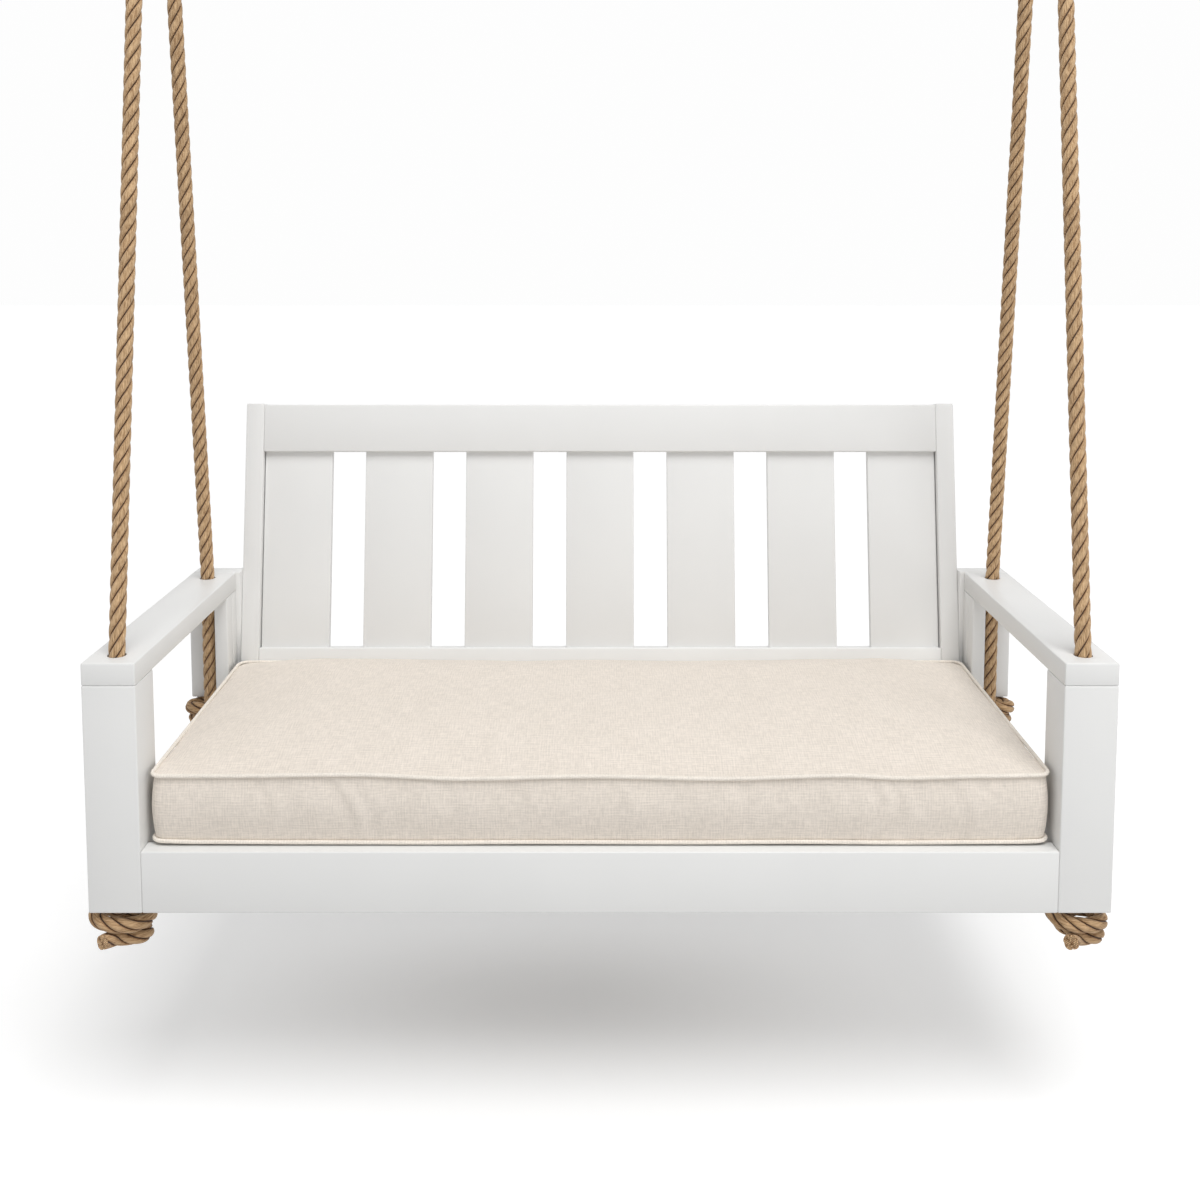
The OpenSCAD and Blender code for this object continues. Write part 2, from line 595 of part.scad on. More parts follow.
// The zip runs across the flat back of the boxing, at half its height.
zip_t = 1.2;
teeth_w = 5;
teeth_t = 1.4;
slider_l = 14;
slider_w = 10;
slider_t = 0.8;
tab_l = 24;
zip_z = (seam_low_z + seam_high_z + boxing_rise) / 2;
zip_l = 2 * (cushion_x - zip_end_in);
module on_cushion_back() translate([0, cushion_y1 + (zip_z - seam_low_z) * tan(recline), zip_z])
    rotate([-recline, 0, 0]) children();
module cushion_zip() color(PIPING) on_cushion_back() {
    translate([-zip_l / 2, play, -zip_w / 2]) cube([zip_l, zip_t, zip_w]);
    translate([-zip_l / 2, play, -teeth_w / 2]) cube([zip_l, zip_t + teeth_t, teeth_w]);
}
module zip_slider() color(STEEL) on_cushion_back() translate([-zip_l / 2 + slider_l, play + zip_t + 0.3, 0]) {
    difference() {
        translate([-slider_l / 2, 0, -slider_w / 2]) cube([slider_l, teeth_t + slider_t, slider_w]);
        translate([-slider_l / 2 - cut, -cut, -teeth_w / 2 - 0.3]) cube([slider_l + 2 * cut, teeth_t + cut, teeth_w + 0.6]);
    }
    translate([-3, teeth_t + slider_t, -tab_l]) cube([6, slider_t, tab_l]);
}

// ---------------------------------------------------------------- assembly

hung() {
    for (e = ENDS, s = SIDES) {
        if (want(str("hook_", e, "_", s[0]))) hook(e, s[1]);
        if (want(str("thimble_", e, "_", s[0]))) thimble(e, s[1]);
        if (want(str("rope_eye_", e, "_", s[0]))) rope_eye(e, s[1]);
        if (want(str("rope_", e, "_", s[0]))) rope(e, s[1]);
        if (want(str("rope_lower_", e, "_", s[0]))) rope_lower(e, s[1]);
        if (want(str("bottom_knot_", e, "_", s[0]))) bottom_knot(e, s[1]);
    }
    for (s = SIDES) on_side(s[1]) {
        if (want(str("arm_", s[0]))) arm();
        if (want(str("front_post_", s[0]))) front_post();
        if (want(str("rear_post_", s[0]))) rear_post();
        if (want(str("rope_guard_", s[0]))) rope_guard();
        if (want(str("corner_board_", s[0]))) corner_board();
        if (want(str("side_beam_", s[0]))) side_beam();
        if (want(str("back_stile_", s[0]))) back_stile();
        if (want("arm_dowels")) color(PINE) dowels(0);
        if (want("rail_bolts")) color(STEEL) bolts(0);
        if (want("corner_screws")) color(STEEL) union() {
            rear_screws(0);
            stile_screws(0);
        }
    }
    if (want("front_rail")) seat_rail(0);
    if (want("rear_rail")) seat_rail(rear_rail_y);
    if (want("seat_ledgers")) seat_ledgers();
    if (want("seat_slats")) seat_slats();
    if (want("deck_screws")) color(STEEL) deck_screws_at(0);
    if (want("back_top_rail")) back_top_rail();
    if (want("back_bottom_rail")) back_bottom_rail();
    for (i = [1:back_slats_n]) if (want(str("back_slat_", i))) back_slat(i - 1);
    if (want("cushion_cover")) cushion_cover();
    if (want("cushion_core")) cushion_core();
    if (want("cushion_piping")) cushion_piping();
    if (want("cushion_zip")) cushion_zip();
    if (want("zip_slider")) zip_slider();
}
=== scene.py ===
# %% [markdown]
# # A hanging swing bed
# We dress a swing bed: a white painted bench with a slatted back, a linen seat
# cushion and four thick ropes that run up to hooks in the ceiling. The solid
# parts come in first as a fixed frame. We then model each visible piece over
# its solid, so that everything keeps its real size and place, in metres.

# %% Load the frame
import math
import bmesh
import bpy
from mathutils import Matrix, Vector


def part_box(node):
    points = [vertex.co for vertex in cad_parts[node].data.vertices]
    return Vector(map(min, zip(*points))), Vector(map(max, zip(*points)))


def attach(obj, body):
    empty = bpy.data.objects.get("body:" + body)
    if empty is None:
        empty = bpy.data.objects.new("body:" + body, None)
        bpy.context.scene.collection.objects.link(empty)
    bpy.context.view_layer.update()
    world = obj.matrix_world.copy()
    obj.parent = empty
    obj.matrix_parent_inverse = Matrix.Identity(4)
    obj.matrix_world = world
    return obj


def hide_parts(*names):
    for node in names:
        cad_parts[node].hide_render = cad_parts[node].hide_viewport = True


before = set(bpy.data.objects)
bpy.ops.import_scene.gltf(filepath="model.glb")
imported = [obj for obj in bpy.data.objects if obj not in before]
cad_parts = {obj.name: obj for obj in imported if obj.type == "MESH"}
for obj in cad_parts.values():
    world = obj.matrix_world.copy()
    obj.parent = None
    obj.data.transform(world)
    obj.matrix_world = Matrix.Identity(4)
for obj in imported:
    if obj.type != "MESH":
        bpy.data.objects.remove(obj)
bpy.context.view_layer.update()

# %% [markdown]
# Drawings of furniture are read in millimetres, measured from the piece itself.
# One small function turns such a point into the frame's metres: x is sideways
# from the middle, y goes back from the front of the arms, and z goes up from
# the top of the arms.

# %% Points in the bed's own millimetres
ARM_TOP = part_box("arm_left")[1][2]
ARM_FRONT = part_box("arm_left")[0][1]
SIDES = {"left": -1, "right": 1}

def spot(x, y, z):
    return Vector((x / 1000, y / 1000 + ARM_FRONT, z / 1000 + ARM_TOP))

print("top of the arms at z =", round(ARM_TOP, 4), "front at y =", round(ARM_FRONT, 4))

# %% [markdown]
# The camera stands in front, a little above the arms, and looks down by five
# degrees. A small shift of the lens moves the whole picture down, so that the
# long ropes fit in without tipping the camera more.

# %% Camera
bpy.ops.object.camera_add(location=spot(0, -2126.2, 683.2), rotation=(math.radians(90 - 4.983), 0, 0))
camera = bpy.context.object
camera.name = "front_camera"
camera.data.lens = 39.93
camera.data.sensor_width = 36
camera.data.shift_y = -0.1997
bpy.context.scene.camera = camera

# %% [markdown]
# Blender's operators act on whatever is selected, and everything that was
# loaded is still selected. These helpers pick exactly one object, apply its
# modifiers, and bake its place into the mesh so that the object itself sits at
# the origin.

# %% Helpers: select, apply, set down
def pick(obj):
    bpy.ops.object.select_all(action="DESELECT")
    obj.select_set(True)
    bpy.context.view_layer.objects.active = obj
    return obj

def apply_modifiers(obj):
    pick(obj)
    for m in list(obj.modifiers):
        bpy.ops.object.modifier_apply(modifier=m.name)
    return obj

def set_down(obj):
    pick(obj)
    bpy.ops.object.transform_apply(location=True, rotation=True, scale=True)
    return obj

def smooth(obj, angle=35):
    pick(obj)
    bpy.ops.object.shade_smooth_by_angle(angle=math.radians(angle))
    return obj

def ease(obj, width=0.0025):
    bevel = obj.modifiers.new("Eased edges", "BEVEL")
    bevel.width = width
    bevel.segments = 3
    bevel.limit_method = "ANGLE"
    bevel.harden_normals = False
    apply_modifiers(obj)
    return smooth(obj, 40)

def join(objs, name):
    bpy.ops.object.select_all(action="DESELECT")
    for o in objs:
        o.select_set(True)
    bpy.context.view_layer.objects.active = objs[0]
    bpy.ops.object.join()
    obj = bpy.context.object
    obj.name = name
    return obj

def from_bmesh(bm, kind, name):
    mesh = bpy.data.meshes.new(kind)
    bm.to_mesh(mesh)
    bm.free()
    obj = bpy.data.objects.new(name, mesh)
    bpy.context.collection.objects.link(obj)
    return obj

def skin(bm, loops):
    """Faces between neighbouring loops of points, and a cap on each end."""
    for a, b in zip(loops, loops[1:]):
        for k in range(len(a)):
            j = (k + 1) % len(a)
            bm.faces.new((a[k], a[j], b[j], b[k]))
    bm.faces.new(list(reversed(loops[0])))
    bm.faces.new(loops[-1])

def cut_out(obj, bit):
    """Take the shape of bit out of obj, and remove bit."""
    cut = obj.modifiers.new("Cut", "BOOLEAN")
    cut.object = bit
    cut.solver = "EXACT"
    apply_modifiers(obj)
    bpy.data.objects.remove(bit)
    return obj

def facing(at, way):
    """A place at a point, turned so that its Z looks along way."""
    return Matrix.Translation(at) @ way.to_track_quat("Z", "Y").to_matrix().to_4x4()

# %% Helpers: materials
def new_material(name, color, rough):
    mat = bpy.data.materials.new(name)
    mat.use_nodes = True
    shader = mat.node_tree.nodes["Principled BSDF"]
    shader.inputs["Base Color"].default_value = (*color, 1)
    shader.inputs["Roughness"].default_value = rough
    return mat, mat.node_tree, shader

def node(tree, kind, **values):
    n = tree.nodes.new(kind)
    for key, value in values.items():
        if key in n.inputs:
            n.inputs[key].default_value = value
        else:
            setattr(n, key, value)
    return n

def ramp(tree, source, stops):
    n = tree.nodes.new("ShaderNodeValToRGB")
    while len(n.color_ramp.elements) < len(stops):
        n.color_ramp.elements.new(0.5)
    for e, (at, c) in zip(n.color_ramp.elements, stops):
        e.position = at
        e.color = (*c, 1) if len(c) == 3 else c
    tree.links.new(source, n.inputs["Fac"])
    return n.outputs["Color"]

def shade(color, share):
    return tuple(share * c for c in color)

def object_place(tree):
    return node(tree, "ShaderNodeTexCoord").outputs["Object"]

def stretched(tree, place, scale):
    n = node(tree, "ShaderNodeMapping")
    n.inputs["Scale"].default_value = scale
    tree.links.new(place, n.inputs["Vector"])
    return n.outputs[0]

def noise_at(tree, place, **values):
    n = node(tree, "ShaderNodeTexNoise", **values)
    tree.links.new(place, n.inputs["Vector"])
    return n.outputs["Fac"]

def mapped(tree, source, start, stop, low, high, **values):
    """Map what runs from start to stop onto low to high."""
    n = node(tree, "ShaderNodeMapRange", **values)
    for plug, value in zip(("From Min", "From Max", "To Min", "To Max"), (start, stop, low, high)):
        n.inputs[plug].default_value = value
    tree.links.new(source, n.inputs["Value"])
    return n.outputs[0]

def math_of(tree, how, a, b):
    """One step of arithmetic. a and b are each a node's output or a number."""
    n = node(tree, "ShaderNodeMath", operation=how)
    for plug, value in zip(n.inputs, (a, b)):
        if isinstance(value, (int, float)):
            plug.default_value = value
        else:
            tree.links.new(value, plug)
    return n.outputs[0]

def multiplied(tree, color, *others):
    for other in others:
        n = node(tree, "ShaderNodeMix", data_type="RGBA", blend_type="MULTIPLY")
        n.inputs["Factor"].default_value = 1.0
        tree.links.new(color, n.inputs["A"])
        tree.links.new(other, n.inputs["B"])
        color = n.outputs["Result"]
    return color

def bumped(tree, shader, *layers):
    """Stack bumps of (height, strength, distance) under the shader, the lowest first."""
    below = None
    for height, strength, distance in layers:
        n = node(tree, "ShaderNodeBump", Strength=strength, Distance=distance)
        tree.links.new(height, n.inputs["Height"])
        if below is not None:
            tree.links.new(below, n.inputs["Normal"])
        below = n.outputs["Normal"]
    tree.links.new(below, shader.inputs["Normal"])

def wear(obj, mat, body, slot, *nodes):
    obj.data.materials.clear()
    obj.data.materials.append(mat)
    finish(obj, body, slot, *nodes)

def finish(obj, body, slot, *nodes):
    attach(obj, body)
    if nodes:
        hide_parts(*nodes)

# %% [markdown]
# ## Ropes
# Each rope is four strands laid hard around each other, 28 mm thick in all.
# The strands press flat where they meet, so the cross-section is nearly round,
# with four narrow creases. Lifted and turned at a steady rate, that outline
# becomes laid rope, which is what the Screw modifier does. Each point also
# stores where it lay in the straight rope, so that the yarns of the material
# follow the rope wherever it bends later.

# %% A straight length of laid rope
STRANDS = 4
LAY = 3.9  # length of one full turn of the strands, in rope diameters
CREASE = 0.17  # depth of the crease between two strands, in rope radii
ACROSS = (-1, -0.94, -0.86, -0.75, -0.6, -0.4, -0.14, 0.14, 0.4, 0.6, 0.75, 0.86, 0.94)  # over one strand

def strand_outline(t, strands):
    to_crease = (1 - abs(t)) * 180 / strands
    return 0.99 - 0.19 * abs(t) ** 2.4 - CREASE * math.exp(-(to_crease / 5.5) ** 2)

def laid_rope(name, diameter, length, strands=STRANDS, steps=30, lay=LAY):
    bpy.ops.mesh.primitive_circle_add(vertices=strands * len(ACROSS), radius=1)
    rope = bpy.context.object
    rope.name = name
    for i, v in enumerate(rope.data.vertices):
        strand, k = divmod(i, len(ACROSS))
        angle = math.radians((360 * strand + 180 * ACROSS[k]) / strands)
        r = diameter / 2 * strand_outline(ACROSS[k], strands)
        v.co = (r * math.cos(angle), r * math.sin(angle), 0)
    screw = rope.modifiers.new("Lay", "SCREW")
    screw.screw_offset = lay * diameter
    screw.iterations = math.ceil(length / (lay * diameter)) + 1
    screw.steps = screw.render_steps = steps
    apply_modifiers(rope)
    trim(rope, (0, 0, length), (0, 0, 1))
    trim(rope, (0, 0, 0.0001), (0, 0, -1))
    bpy.ops.object.mode_set(mode="EDIT")
    bpy.ops.mesh.select_all(action="SELECT")
    bpy.ops.mesh.normals_make_consistent(inside=False)
    bpy.ops.object.mode_set(mode="OBJECT")
    lay_at = rope.data.attributes.new("lay", "FLOAT_VECTOR", "POINT")
    for i, v in enumerate(rope.data.vertices):
        lay_at.data[i].vector = v.co
    return rope

def trim(obj, at, away):
    pick(obj)
    bpy.ops.object.mode_set(mode="EDIT")
    bpy.ops.mesh.select_all(action="SELECT")
    bpy.ops.mesh.bisect(plane_co=at, plane_no=away, clear_outer=True, use_fill=True)
    bpy.ops.object.mode_set(mode="OBJECT")

# %% [markdown]
# The rope's colour is darkest deep in the creases, a painted shade where the
# strands shadow each other, and palest on the strands.
# Fine yarns run nearly along the rope, some of them darker than the rest. All
# of it reads the stored straight position, so it never slides or stretches.

# %% Rope material
def rope_material(name, diameter):
    mat, tree, shader = new_material(name, (0.45, 0.30, 0.16), 0.88)
    lay = node(tree, "ShaderNodeAttribute", attribute_name="lay").outputs["Vector"]
    flat = node(tree, "ShaderNodeVectorMath", operation="MULTIPLY")
    flat.inputs[1].default_value = (1, 1, 0)
    tree.links.new(lay, flat.inputs[0])
    depth = node(tree, "ShaderNodeVectorMath", operation="LENGTH")
    tree.links.new(flat.outputs[0], depth.inputs[0])
    far = mapped(tree, depth.outputs["Value"], 0.335 * diameter, 0.5 * diameter, 0, 1)
    along = stretched(tree, lay, (1, 1, 0.09))
    yarn = noise_at(tree, along, Scale=620.0, Detail=4.0, Roughness=0.65)
    fibre = noise_at(tree, along, Scale=2400.0, Detail=2.0)
    patch = noise_at(tree, lay, Scale=45.0, Detail=3.0)
    # Painted shade: the colour darkens nearly to black towards the creases, where the strands shadow each
    # other.
    painted_crease_shade = ramp(tree, far, [(0.0, (0.08, 0.032, 0.007)), (0.22, (0.15, 0.07, 0.021)),
        (0.40, (0.33, 0.195, 0.10)), (0.62, (0.49, 0.325, 0.182)), (1.0, (0.61, 0.425, 0.25))])
    lines = ramp(tree, yarn, [(0.35, (0.46, 0.36, 0.27)), (0.45, (0.80, 0.74, 0.67)),
        (0.54, (1, 1, 1)), (0.68, (1.30, 1.29, 1.26))])
    tone = ramp(tree, patch, [(0.3, (0.86, 0.84, 0.80)), (0.7, (1.12, 1.11, 1.08))])
    tree.links.new(multiplied(tree, painted_crease_shade, lines, tone), shader.inputs["Base Color"])
    bumped(tree, shader, (yarn, 0.7, 0.001), (fibre, 0.4, 0.0003))
    shader.inputs["Sheen Weight"].default_value = 0.2
    shader.inputs["Sheen Roughness"].default_value = 0.5
    return mat

ROPE_D = 0.028
ROPE = rope_material("laid_rope", ROPE_D)

# %% [markdown]
# All four free ropes are straight. Each starts in its hole at the top of an
# arm and leans inwards as it climbs to its splice, and runs on through it. The
# same few numbers, in millimetres, describe them all: sideways, towards the
# middle of the arm, up.

# %% The free ropes
ROUTE = [(0.75 * i, 10 * i, 75 * i) for i in range(17)]
SPLICE_L, SPLICE_D = 84, 40
HOLE_X = 806.5
HOLE_Y = {"front": 44.5, "rear": 561}
INWARDS = {"front": 1, "rear": -1}

def route_point(end, side, p):
    s = SIDES[side]
    return spot(s * (HOLE_X - p[0]), HOLE_Y[end] + INWARDS[end] * p[1], p[2])

def rope_frame(end, side, at):
    s = SIDES[side]
    way = Vector((-s * 0.75, INWARDS[end] * 10, 75)).normalized()
    turn = Matrix.Rotation(math.atan2(way.x, way.z), 4, "Y") @ Matrix.Rotation(-math.asin(way.y), 4, "X")
    return Matrix.Translation(at) @ turn

def rope_path(end, side):
    path = [route_point(end, side, p) for p in ROUTE]
    way = (path[-1] - path[0]).normalized()
    return path + [path[-1] + way * SPLICE_L / 1000]

def free_rope(end, side):
    path = rope_path(end, side)
    start, stop = path[0], path[-1]
    length = (stop - start).length
    rope = laid_rope(f"rope_{end}_{side}_laid", ROPE_D, length + 0.03)
    rope.matrix_world = rope_frame(end, side, start) @ Matrix.Translation((0, 0, -0.02))
    set_down(rope)
    trim(rope, (0, 0, ARM_TOP - 0.005), (0, 0, -1))
    trim(rope, stop, stop - start)
    smooth(rope, 60)
    wear(rope, ROPE, f"{end}_ropes", "rope", f"rope_{end}_{side}")
    return rope, length

ropes = {}
for end in HOLE_Y:
    for side in SIDES:
        ropes[end, side] = free_rope(end, side)
print("a free rope is", round(ropes["front", "left"][1], 3), "m long,",
    len(ropes["front", "left"][0].data.polygons), "faces")

# %% [markdown]
# Rope that bends is the same straight length, led along a curve by the Curve
# modifier. A few listed points give the way, and a smooth line is drawn
# through them.

# %% Rope along a curve
def smooth_line(points, parts=10):
    p = [Vector(q) for q in points]
    p = [2 * p[0] - p[1]] + p + [2 * p[-1] - p[-2]]
    line = []
    for i in range(1, len(p) - 2):
        a, b, c, d = p[i - 1:i + 3]
        for k in range(parts):
            t = k / parts
            line.append(0.5 * (2 * b + (c - a) * t + (2 * a - 5 * b + 4 * c - d) * t ** 2
                + (3 * b - a - 3 * c + d) * t ** 3))
    return line + [p[-2]]

def line_length(line):
    return sum((b - a).length for a, b in zip(line, line[1:]))

def poly_curve(name, points, closed=False):
    data = bpy.data.curves.new(name, "CURVE")
    data.dimensions = "3D"
    spline = data.splines.new("POLY")
    spline.points.add(len(points) - 1)
    for q, p in zip(spline.points, points):
        q.co = (*p, 1)
    spline.use_cyclic_u = closed
    obj = bpy.data.objects.new(name, data)
    bpy.context.collection.objects.link(obj)
    return obj

def led_along(rope, line):
    way = poly_curve("way", line)
    bend = rope.modifiers.new("Bend", "CURVE")
    bend.object = way
    bend.deform_axis = "POS_Z"
    apply_modifiers(rope)
    bpy.data.objects.remove(way)
    return rope

# %% [markdown]
# ## Eyes and thimbles
# At its upper end each rope turns back on itself round a steel thimble, and
# its strands are tucked into the rope below: an eye splice. The splice is a
# short, thicker length of rope that tapers down to the plain rope, and the eye
# is one more length, led round the thimble's teardrop.

# %% The teardrop that eye and thimble share
THIMBLE_R = 18
EYE_ROPE_R, EYE_R = 12.32, 33.42
THIMBLE_LEAN, EYE_LEAN = 20.17, 22.36  # of the teardrop's legs, in degrees
CROWN_UP = {"front": 139.3, "rear": 140.2}  # the crown's centre above the end of the free rope

def teardrop(r, lean, spread=1.0, arc_parts=24, leg_parts=6):
    """Points (y, z) from one leg's foot over the crown to the other's, and their outward directions."""
    lean = math.radians(lean)
    line = []
    tip = Vector((0, -r / math.sin(lean)))
    for k in range(arc_parts + 1):
        a = -lean + (math.pi + 2 * lean) * k / arc_parts
        line.append((Vector((r * math.cos(a), r * math.sin(a))), Vector((math.cos(a), math.sin(a)))))
    legs = []
    for end_point, out in (line[0], line[-1]):
        shares = [1 - spread + spread * k / leg_parts for k in range(leg_parts)]
        legs.append([(tip.lerp(end_point, share), out) for share in shares])
    return legs[0] + line + list(reversed(legs[1]))

print("the eye takes", round(line_length([p for p, out in teardrop(EYE_R, EYE_LEAN)])), "mm of rope")

# %% The splice and the eye
def splice(end, side):
    body = laid_rope(f"splice_{end}_{side}", SPLICE_D / 1000, SPLICE_L / 1000 + 0.006, strands=6, lay=3.1)
    for v in body.data.vertices:
        z = v.co.z * 1000
        thick = 0.69 + 0.31 * min(z / 38, 1) ** 0.7 - 0.10 * max(z - 66, 0) / 24
        tuck = 1 + 0.035 * math.cos(2 * math.pi * z / 17)
        v.co.x *= thick * tuck
        v.co.y *= thick * tuck * (1 + 0.10 * max(z - 60, 0) / 30)
    return body

def eye(end, side):
    up = CROWN_UP[end]
    points = [Vector((0, y, z + up)) / 1000 for (y, z), out in teardrop(EYE_R, EYE_LEAN, spread=0.86)]
    rope = laid_rope(f"eye_{end}_{side}", 2 * EYE_ROPE_R / 1000, line_length(points), lay=3.4)
    return led_along(rope, points)

def eye_splice(end, side, stop):
    piece = join([splice(end, side), eye(end, side)], f"rope_eye_{end}_{side}_spliced")
    piece.matrix_world = rope_frame(end, side, stop) @ piece.matrix_world
    set_down(piece)
    smooth(piece, 60)
    wear(piece, ROPE, f"{end}_ropes", "rope", f"rope_eye_{end}_{side}")
    return piece

# %% [markdown]
# The thimble is a bent channel of galvanised steel. The rope lies in its
# outer groove, and its smooth inner side rides on the hook. Galvanised steel is
# a dull metal with faint crystals, or spangles, in the zinc.

# %% Galvanised steel
def steel_material(name, color, rough, spangle):
    mat, tree, shader = new_material(name, color, rough)
    shader.inputs["Metallic"].default_value = 0.9
    place = object_place(tree)
    crystals = node(tree, "ShaderNodeTexVoronoi", Scale=spangle)
    tree.links.new(place, crystals.inputs["Vector"])
    grey = node(tree, "ShaderNodeSeparateColor")
    tree.links.new(crystals.outputs["Color"], grey.inputs["Color"])
    tone = ramp(tree, grey.outputs["Red"], [(0, shade(color, 0.88)), (1, shade(color, 1.1))])
    tree.links.new(tone, shader.inputs["Base Color"])
    soil = noise_at(tree, place, Scale=160.0, Detail=4.0)
    tree.links.new(mapped(tree, soil, 0, 1, rough - 0.09, rough + 0.12), shader.inputs["Roughness"])
    bumped(tree, shader, (soil, 0.12, 0.0004))
    return mat

GALVANISED = steel_material("galvanised_steel", (0.56, 0.57, 0.58), 0.38, 260.0)
BRIGHT = steel_material("bright_screws", (0.62, 0.61, 0.58), 0.30, 900.0)

# %% Thimbles
CHANNEL = [(0, 0), (6, 0.5), (9.4, 2.2), (11.2, 5.2), (11.9, 8.2),
    (10.6, 8.6), (9.3, 5.7), (7.6, 3.6), (5, 2.9), (0, 2.8)]

def thimble(end, side, stop):
    section = CHANNEL + [(-x, r) for x, r in reversed(CHANNEL[1:-1])]
    bm = bmesh.new()
    loops = []
    for p, out in teardrop(THIMBLE_R, THIMBLE_LEAN, spread=0.93):
        loop = []
        for x, r in section:
            c = p + out * r
            loop.append(bm.verts.new((x / 1000, c.x / 1000, (c.y + CROWN_UP[end]) / 1000)))
        loops.append(loop)
    skin(bm, loops)
    bmesh.ops.recalc_face_normals(bm, faces=bm.faces)
    piece = from_bmesh(bm, "thimble", f"thimble_{end}_{side}_channel")
    piece.matrix_world = rope_frame(end, side, stop)
    set_down(piece)
    smooth(piece, 50)
    wear(piece, GALVANISED, f"{end}_ropes", "steel", f"thimble_{end}_{side}")
    return piece

# %% [markdown]
# Each free rope runs straight from the hole in the arm to the end of its
# splice, and ends in its spliced eye round a thimble.

for (end, side), (rope, length) in ropes.items():
    path = rope_path(end, side)
    fittings = [eye_splice(end, side, path[-2]), thimble(end, side, path[-2])]

# %% [markdown]
# ## Ceiling hooks
# A screw hook is one bent bar: a threaded shank, a plate against the ceiling,
# a swan neck and an open bowl. The bar follows its centre line as a round
# tube, and the thread is a tapered rod whose radius winds up and down.

# %% Hooks
HOOK_AT = (13.464, 179.52, 1424.4)
BAR_R, SHANK_L, PLATE_R, PLATE_T = 6, 55, 22, 4

def arc(centre, r, a0, a1, parts=10):
    return [(centre[0] + r * math.cos(math.radians(a0 + (a1 - a0) * k / parts)), 0,
        centre[1] + r * math.sin(math.radians(a0 + (a1 - a0) * k / parts))) for k in range(parts + 1)]

def hook_line():
    line = [(0, 0, 2), (0, 0, -6)] + arc((-13, -12), 13, 0, -90)
    line += arc((-13, -38), 13, 90, 180)[1:] + arc((0, -52), 26, 180, 360, 24) + [(26, 0, -46), (26, 0, -40)]
    return line

def tube(name, points, radius, closed=False, parts=5):
    obj = poly_curve(name, points, closed)
    obj.data.bevel_depth = radius
    obj.data.bevel_resolution = parts
    obj.data.use_fill_caps = not closed
    pick(obj)
    bpy.ops.object.convert(target="MESH")
    return bpy.context.object

def threaded_shank(core=4.3, crest=6, pitch=3.2, sides=24, rings_per_turn=8):
    bm = bmesh.new()
    loops = []
    count = int(SHANK_L / pitch * rings_per_turn)
    for j in range(count + 1):
        z = SHANK_L * j / count
        fade = min(1, z / 6)
        point = min(1, (SHANK_L - z) / 12 + 0.08)
        loop = []
        for k in range(sides):
            turn = 2 * math.pi * k / sides
            phase = (z / pitch - k / sides) % 1
            ridge = max(0, 1 - abs(phase - 0.5) / 0.28)
            r = (core + (crest - core) * (ridge * fade + (1 - fade))) * point
            loop.append(bm.verts.new((r * math.cos(turn), r * math.sin(turn), z)))
        loops.append(loop)
    skin(bm, loops)
    return smooth(from_bmesh(bm, "shank", "shank"), 50)

def hook(end, side):
    bar = smooth(tube("bar", hook_line(), BAR_R, parts=5), 50)
    tip_at = (26, 0, -40)
    bpy.ops.mesh.primitive_uv_sphere_add(segments=24, ring_count=12, radius=BAR_R * 1.12, location=tip_at)
    tip = smooth(bpy.context.object)
    plate_at = (0, 0, -PLATE_T / 2)
    bpy.ops.mesh.primitive_cylinder_add(vertices=48, radius=PLATE_R, depth=PLATE_T, location=plate_at)
    plate = ease(set_down(bpy.context.object), 1.2)
    bpy.ops.mesh.primitive_cone_add(vertices=32, radius1=BAR_R * 1.05, radius2=BAR_R * 1.7, depth=4,
        location=(0, 0, -PLATE_T - 2))
    collar = smooth(bpy.context.object)
    piece = join([bar, threaded_shank(), tip, plate, collar], f"hook_{end}_{side}_screwed")
    place = Matrix.Translation(route_point(end, side, HOOK_AT)) @ Matrix.Scale(0.001, 4)
    piece.matrix_world = place @ piece.matrix_world
    set_down(piece)
    wear(piece, GALVANISED, "ceiling_hooks", "steel", f"hook_{end}_{side}")

for end in HOLE_Y:
    for side in SIDES:
        hook(end, side)
print("hooks at z =", round(route_point("front", "left", HOOK_AT).z, 4))

# %% [markdown]
# The rear ropes show below the arms, where they run straight down in front of
# the rear posts. The front ropes hide inside their posts. Under each post the
# rope ends in a stopper knot: one turn around itself from left to right, a
# tuck back underneath, and a short cut tail.

# %% The ropes in the frame
FOOT = {"front": -426, "rear": -257}

def lower_rope(end, side):
    foot = spot(SIDES[side] * HOLE_X, HOLE_Y[end], FOOT[end])
    rope = laid_rope(f"rope_lower_{end}_{side}_laid", ROPE_D, ARM_TOP - 0.006 - foot.z)
    rope.location = foot
    set_down(rope)
    smooth(rope, 60)
    wear(rope, ROPE, "bed", "rope", f"rope_lower_{end}_{side}")

for end in HOLE_Y:
    for side in SIDES:
        lower_rope(end, side)

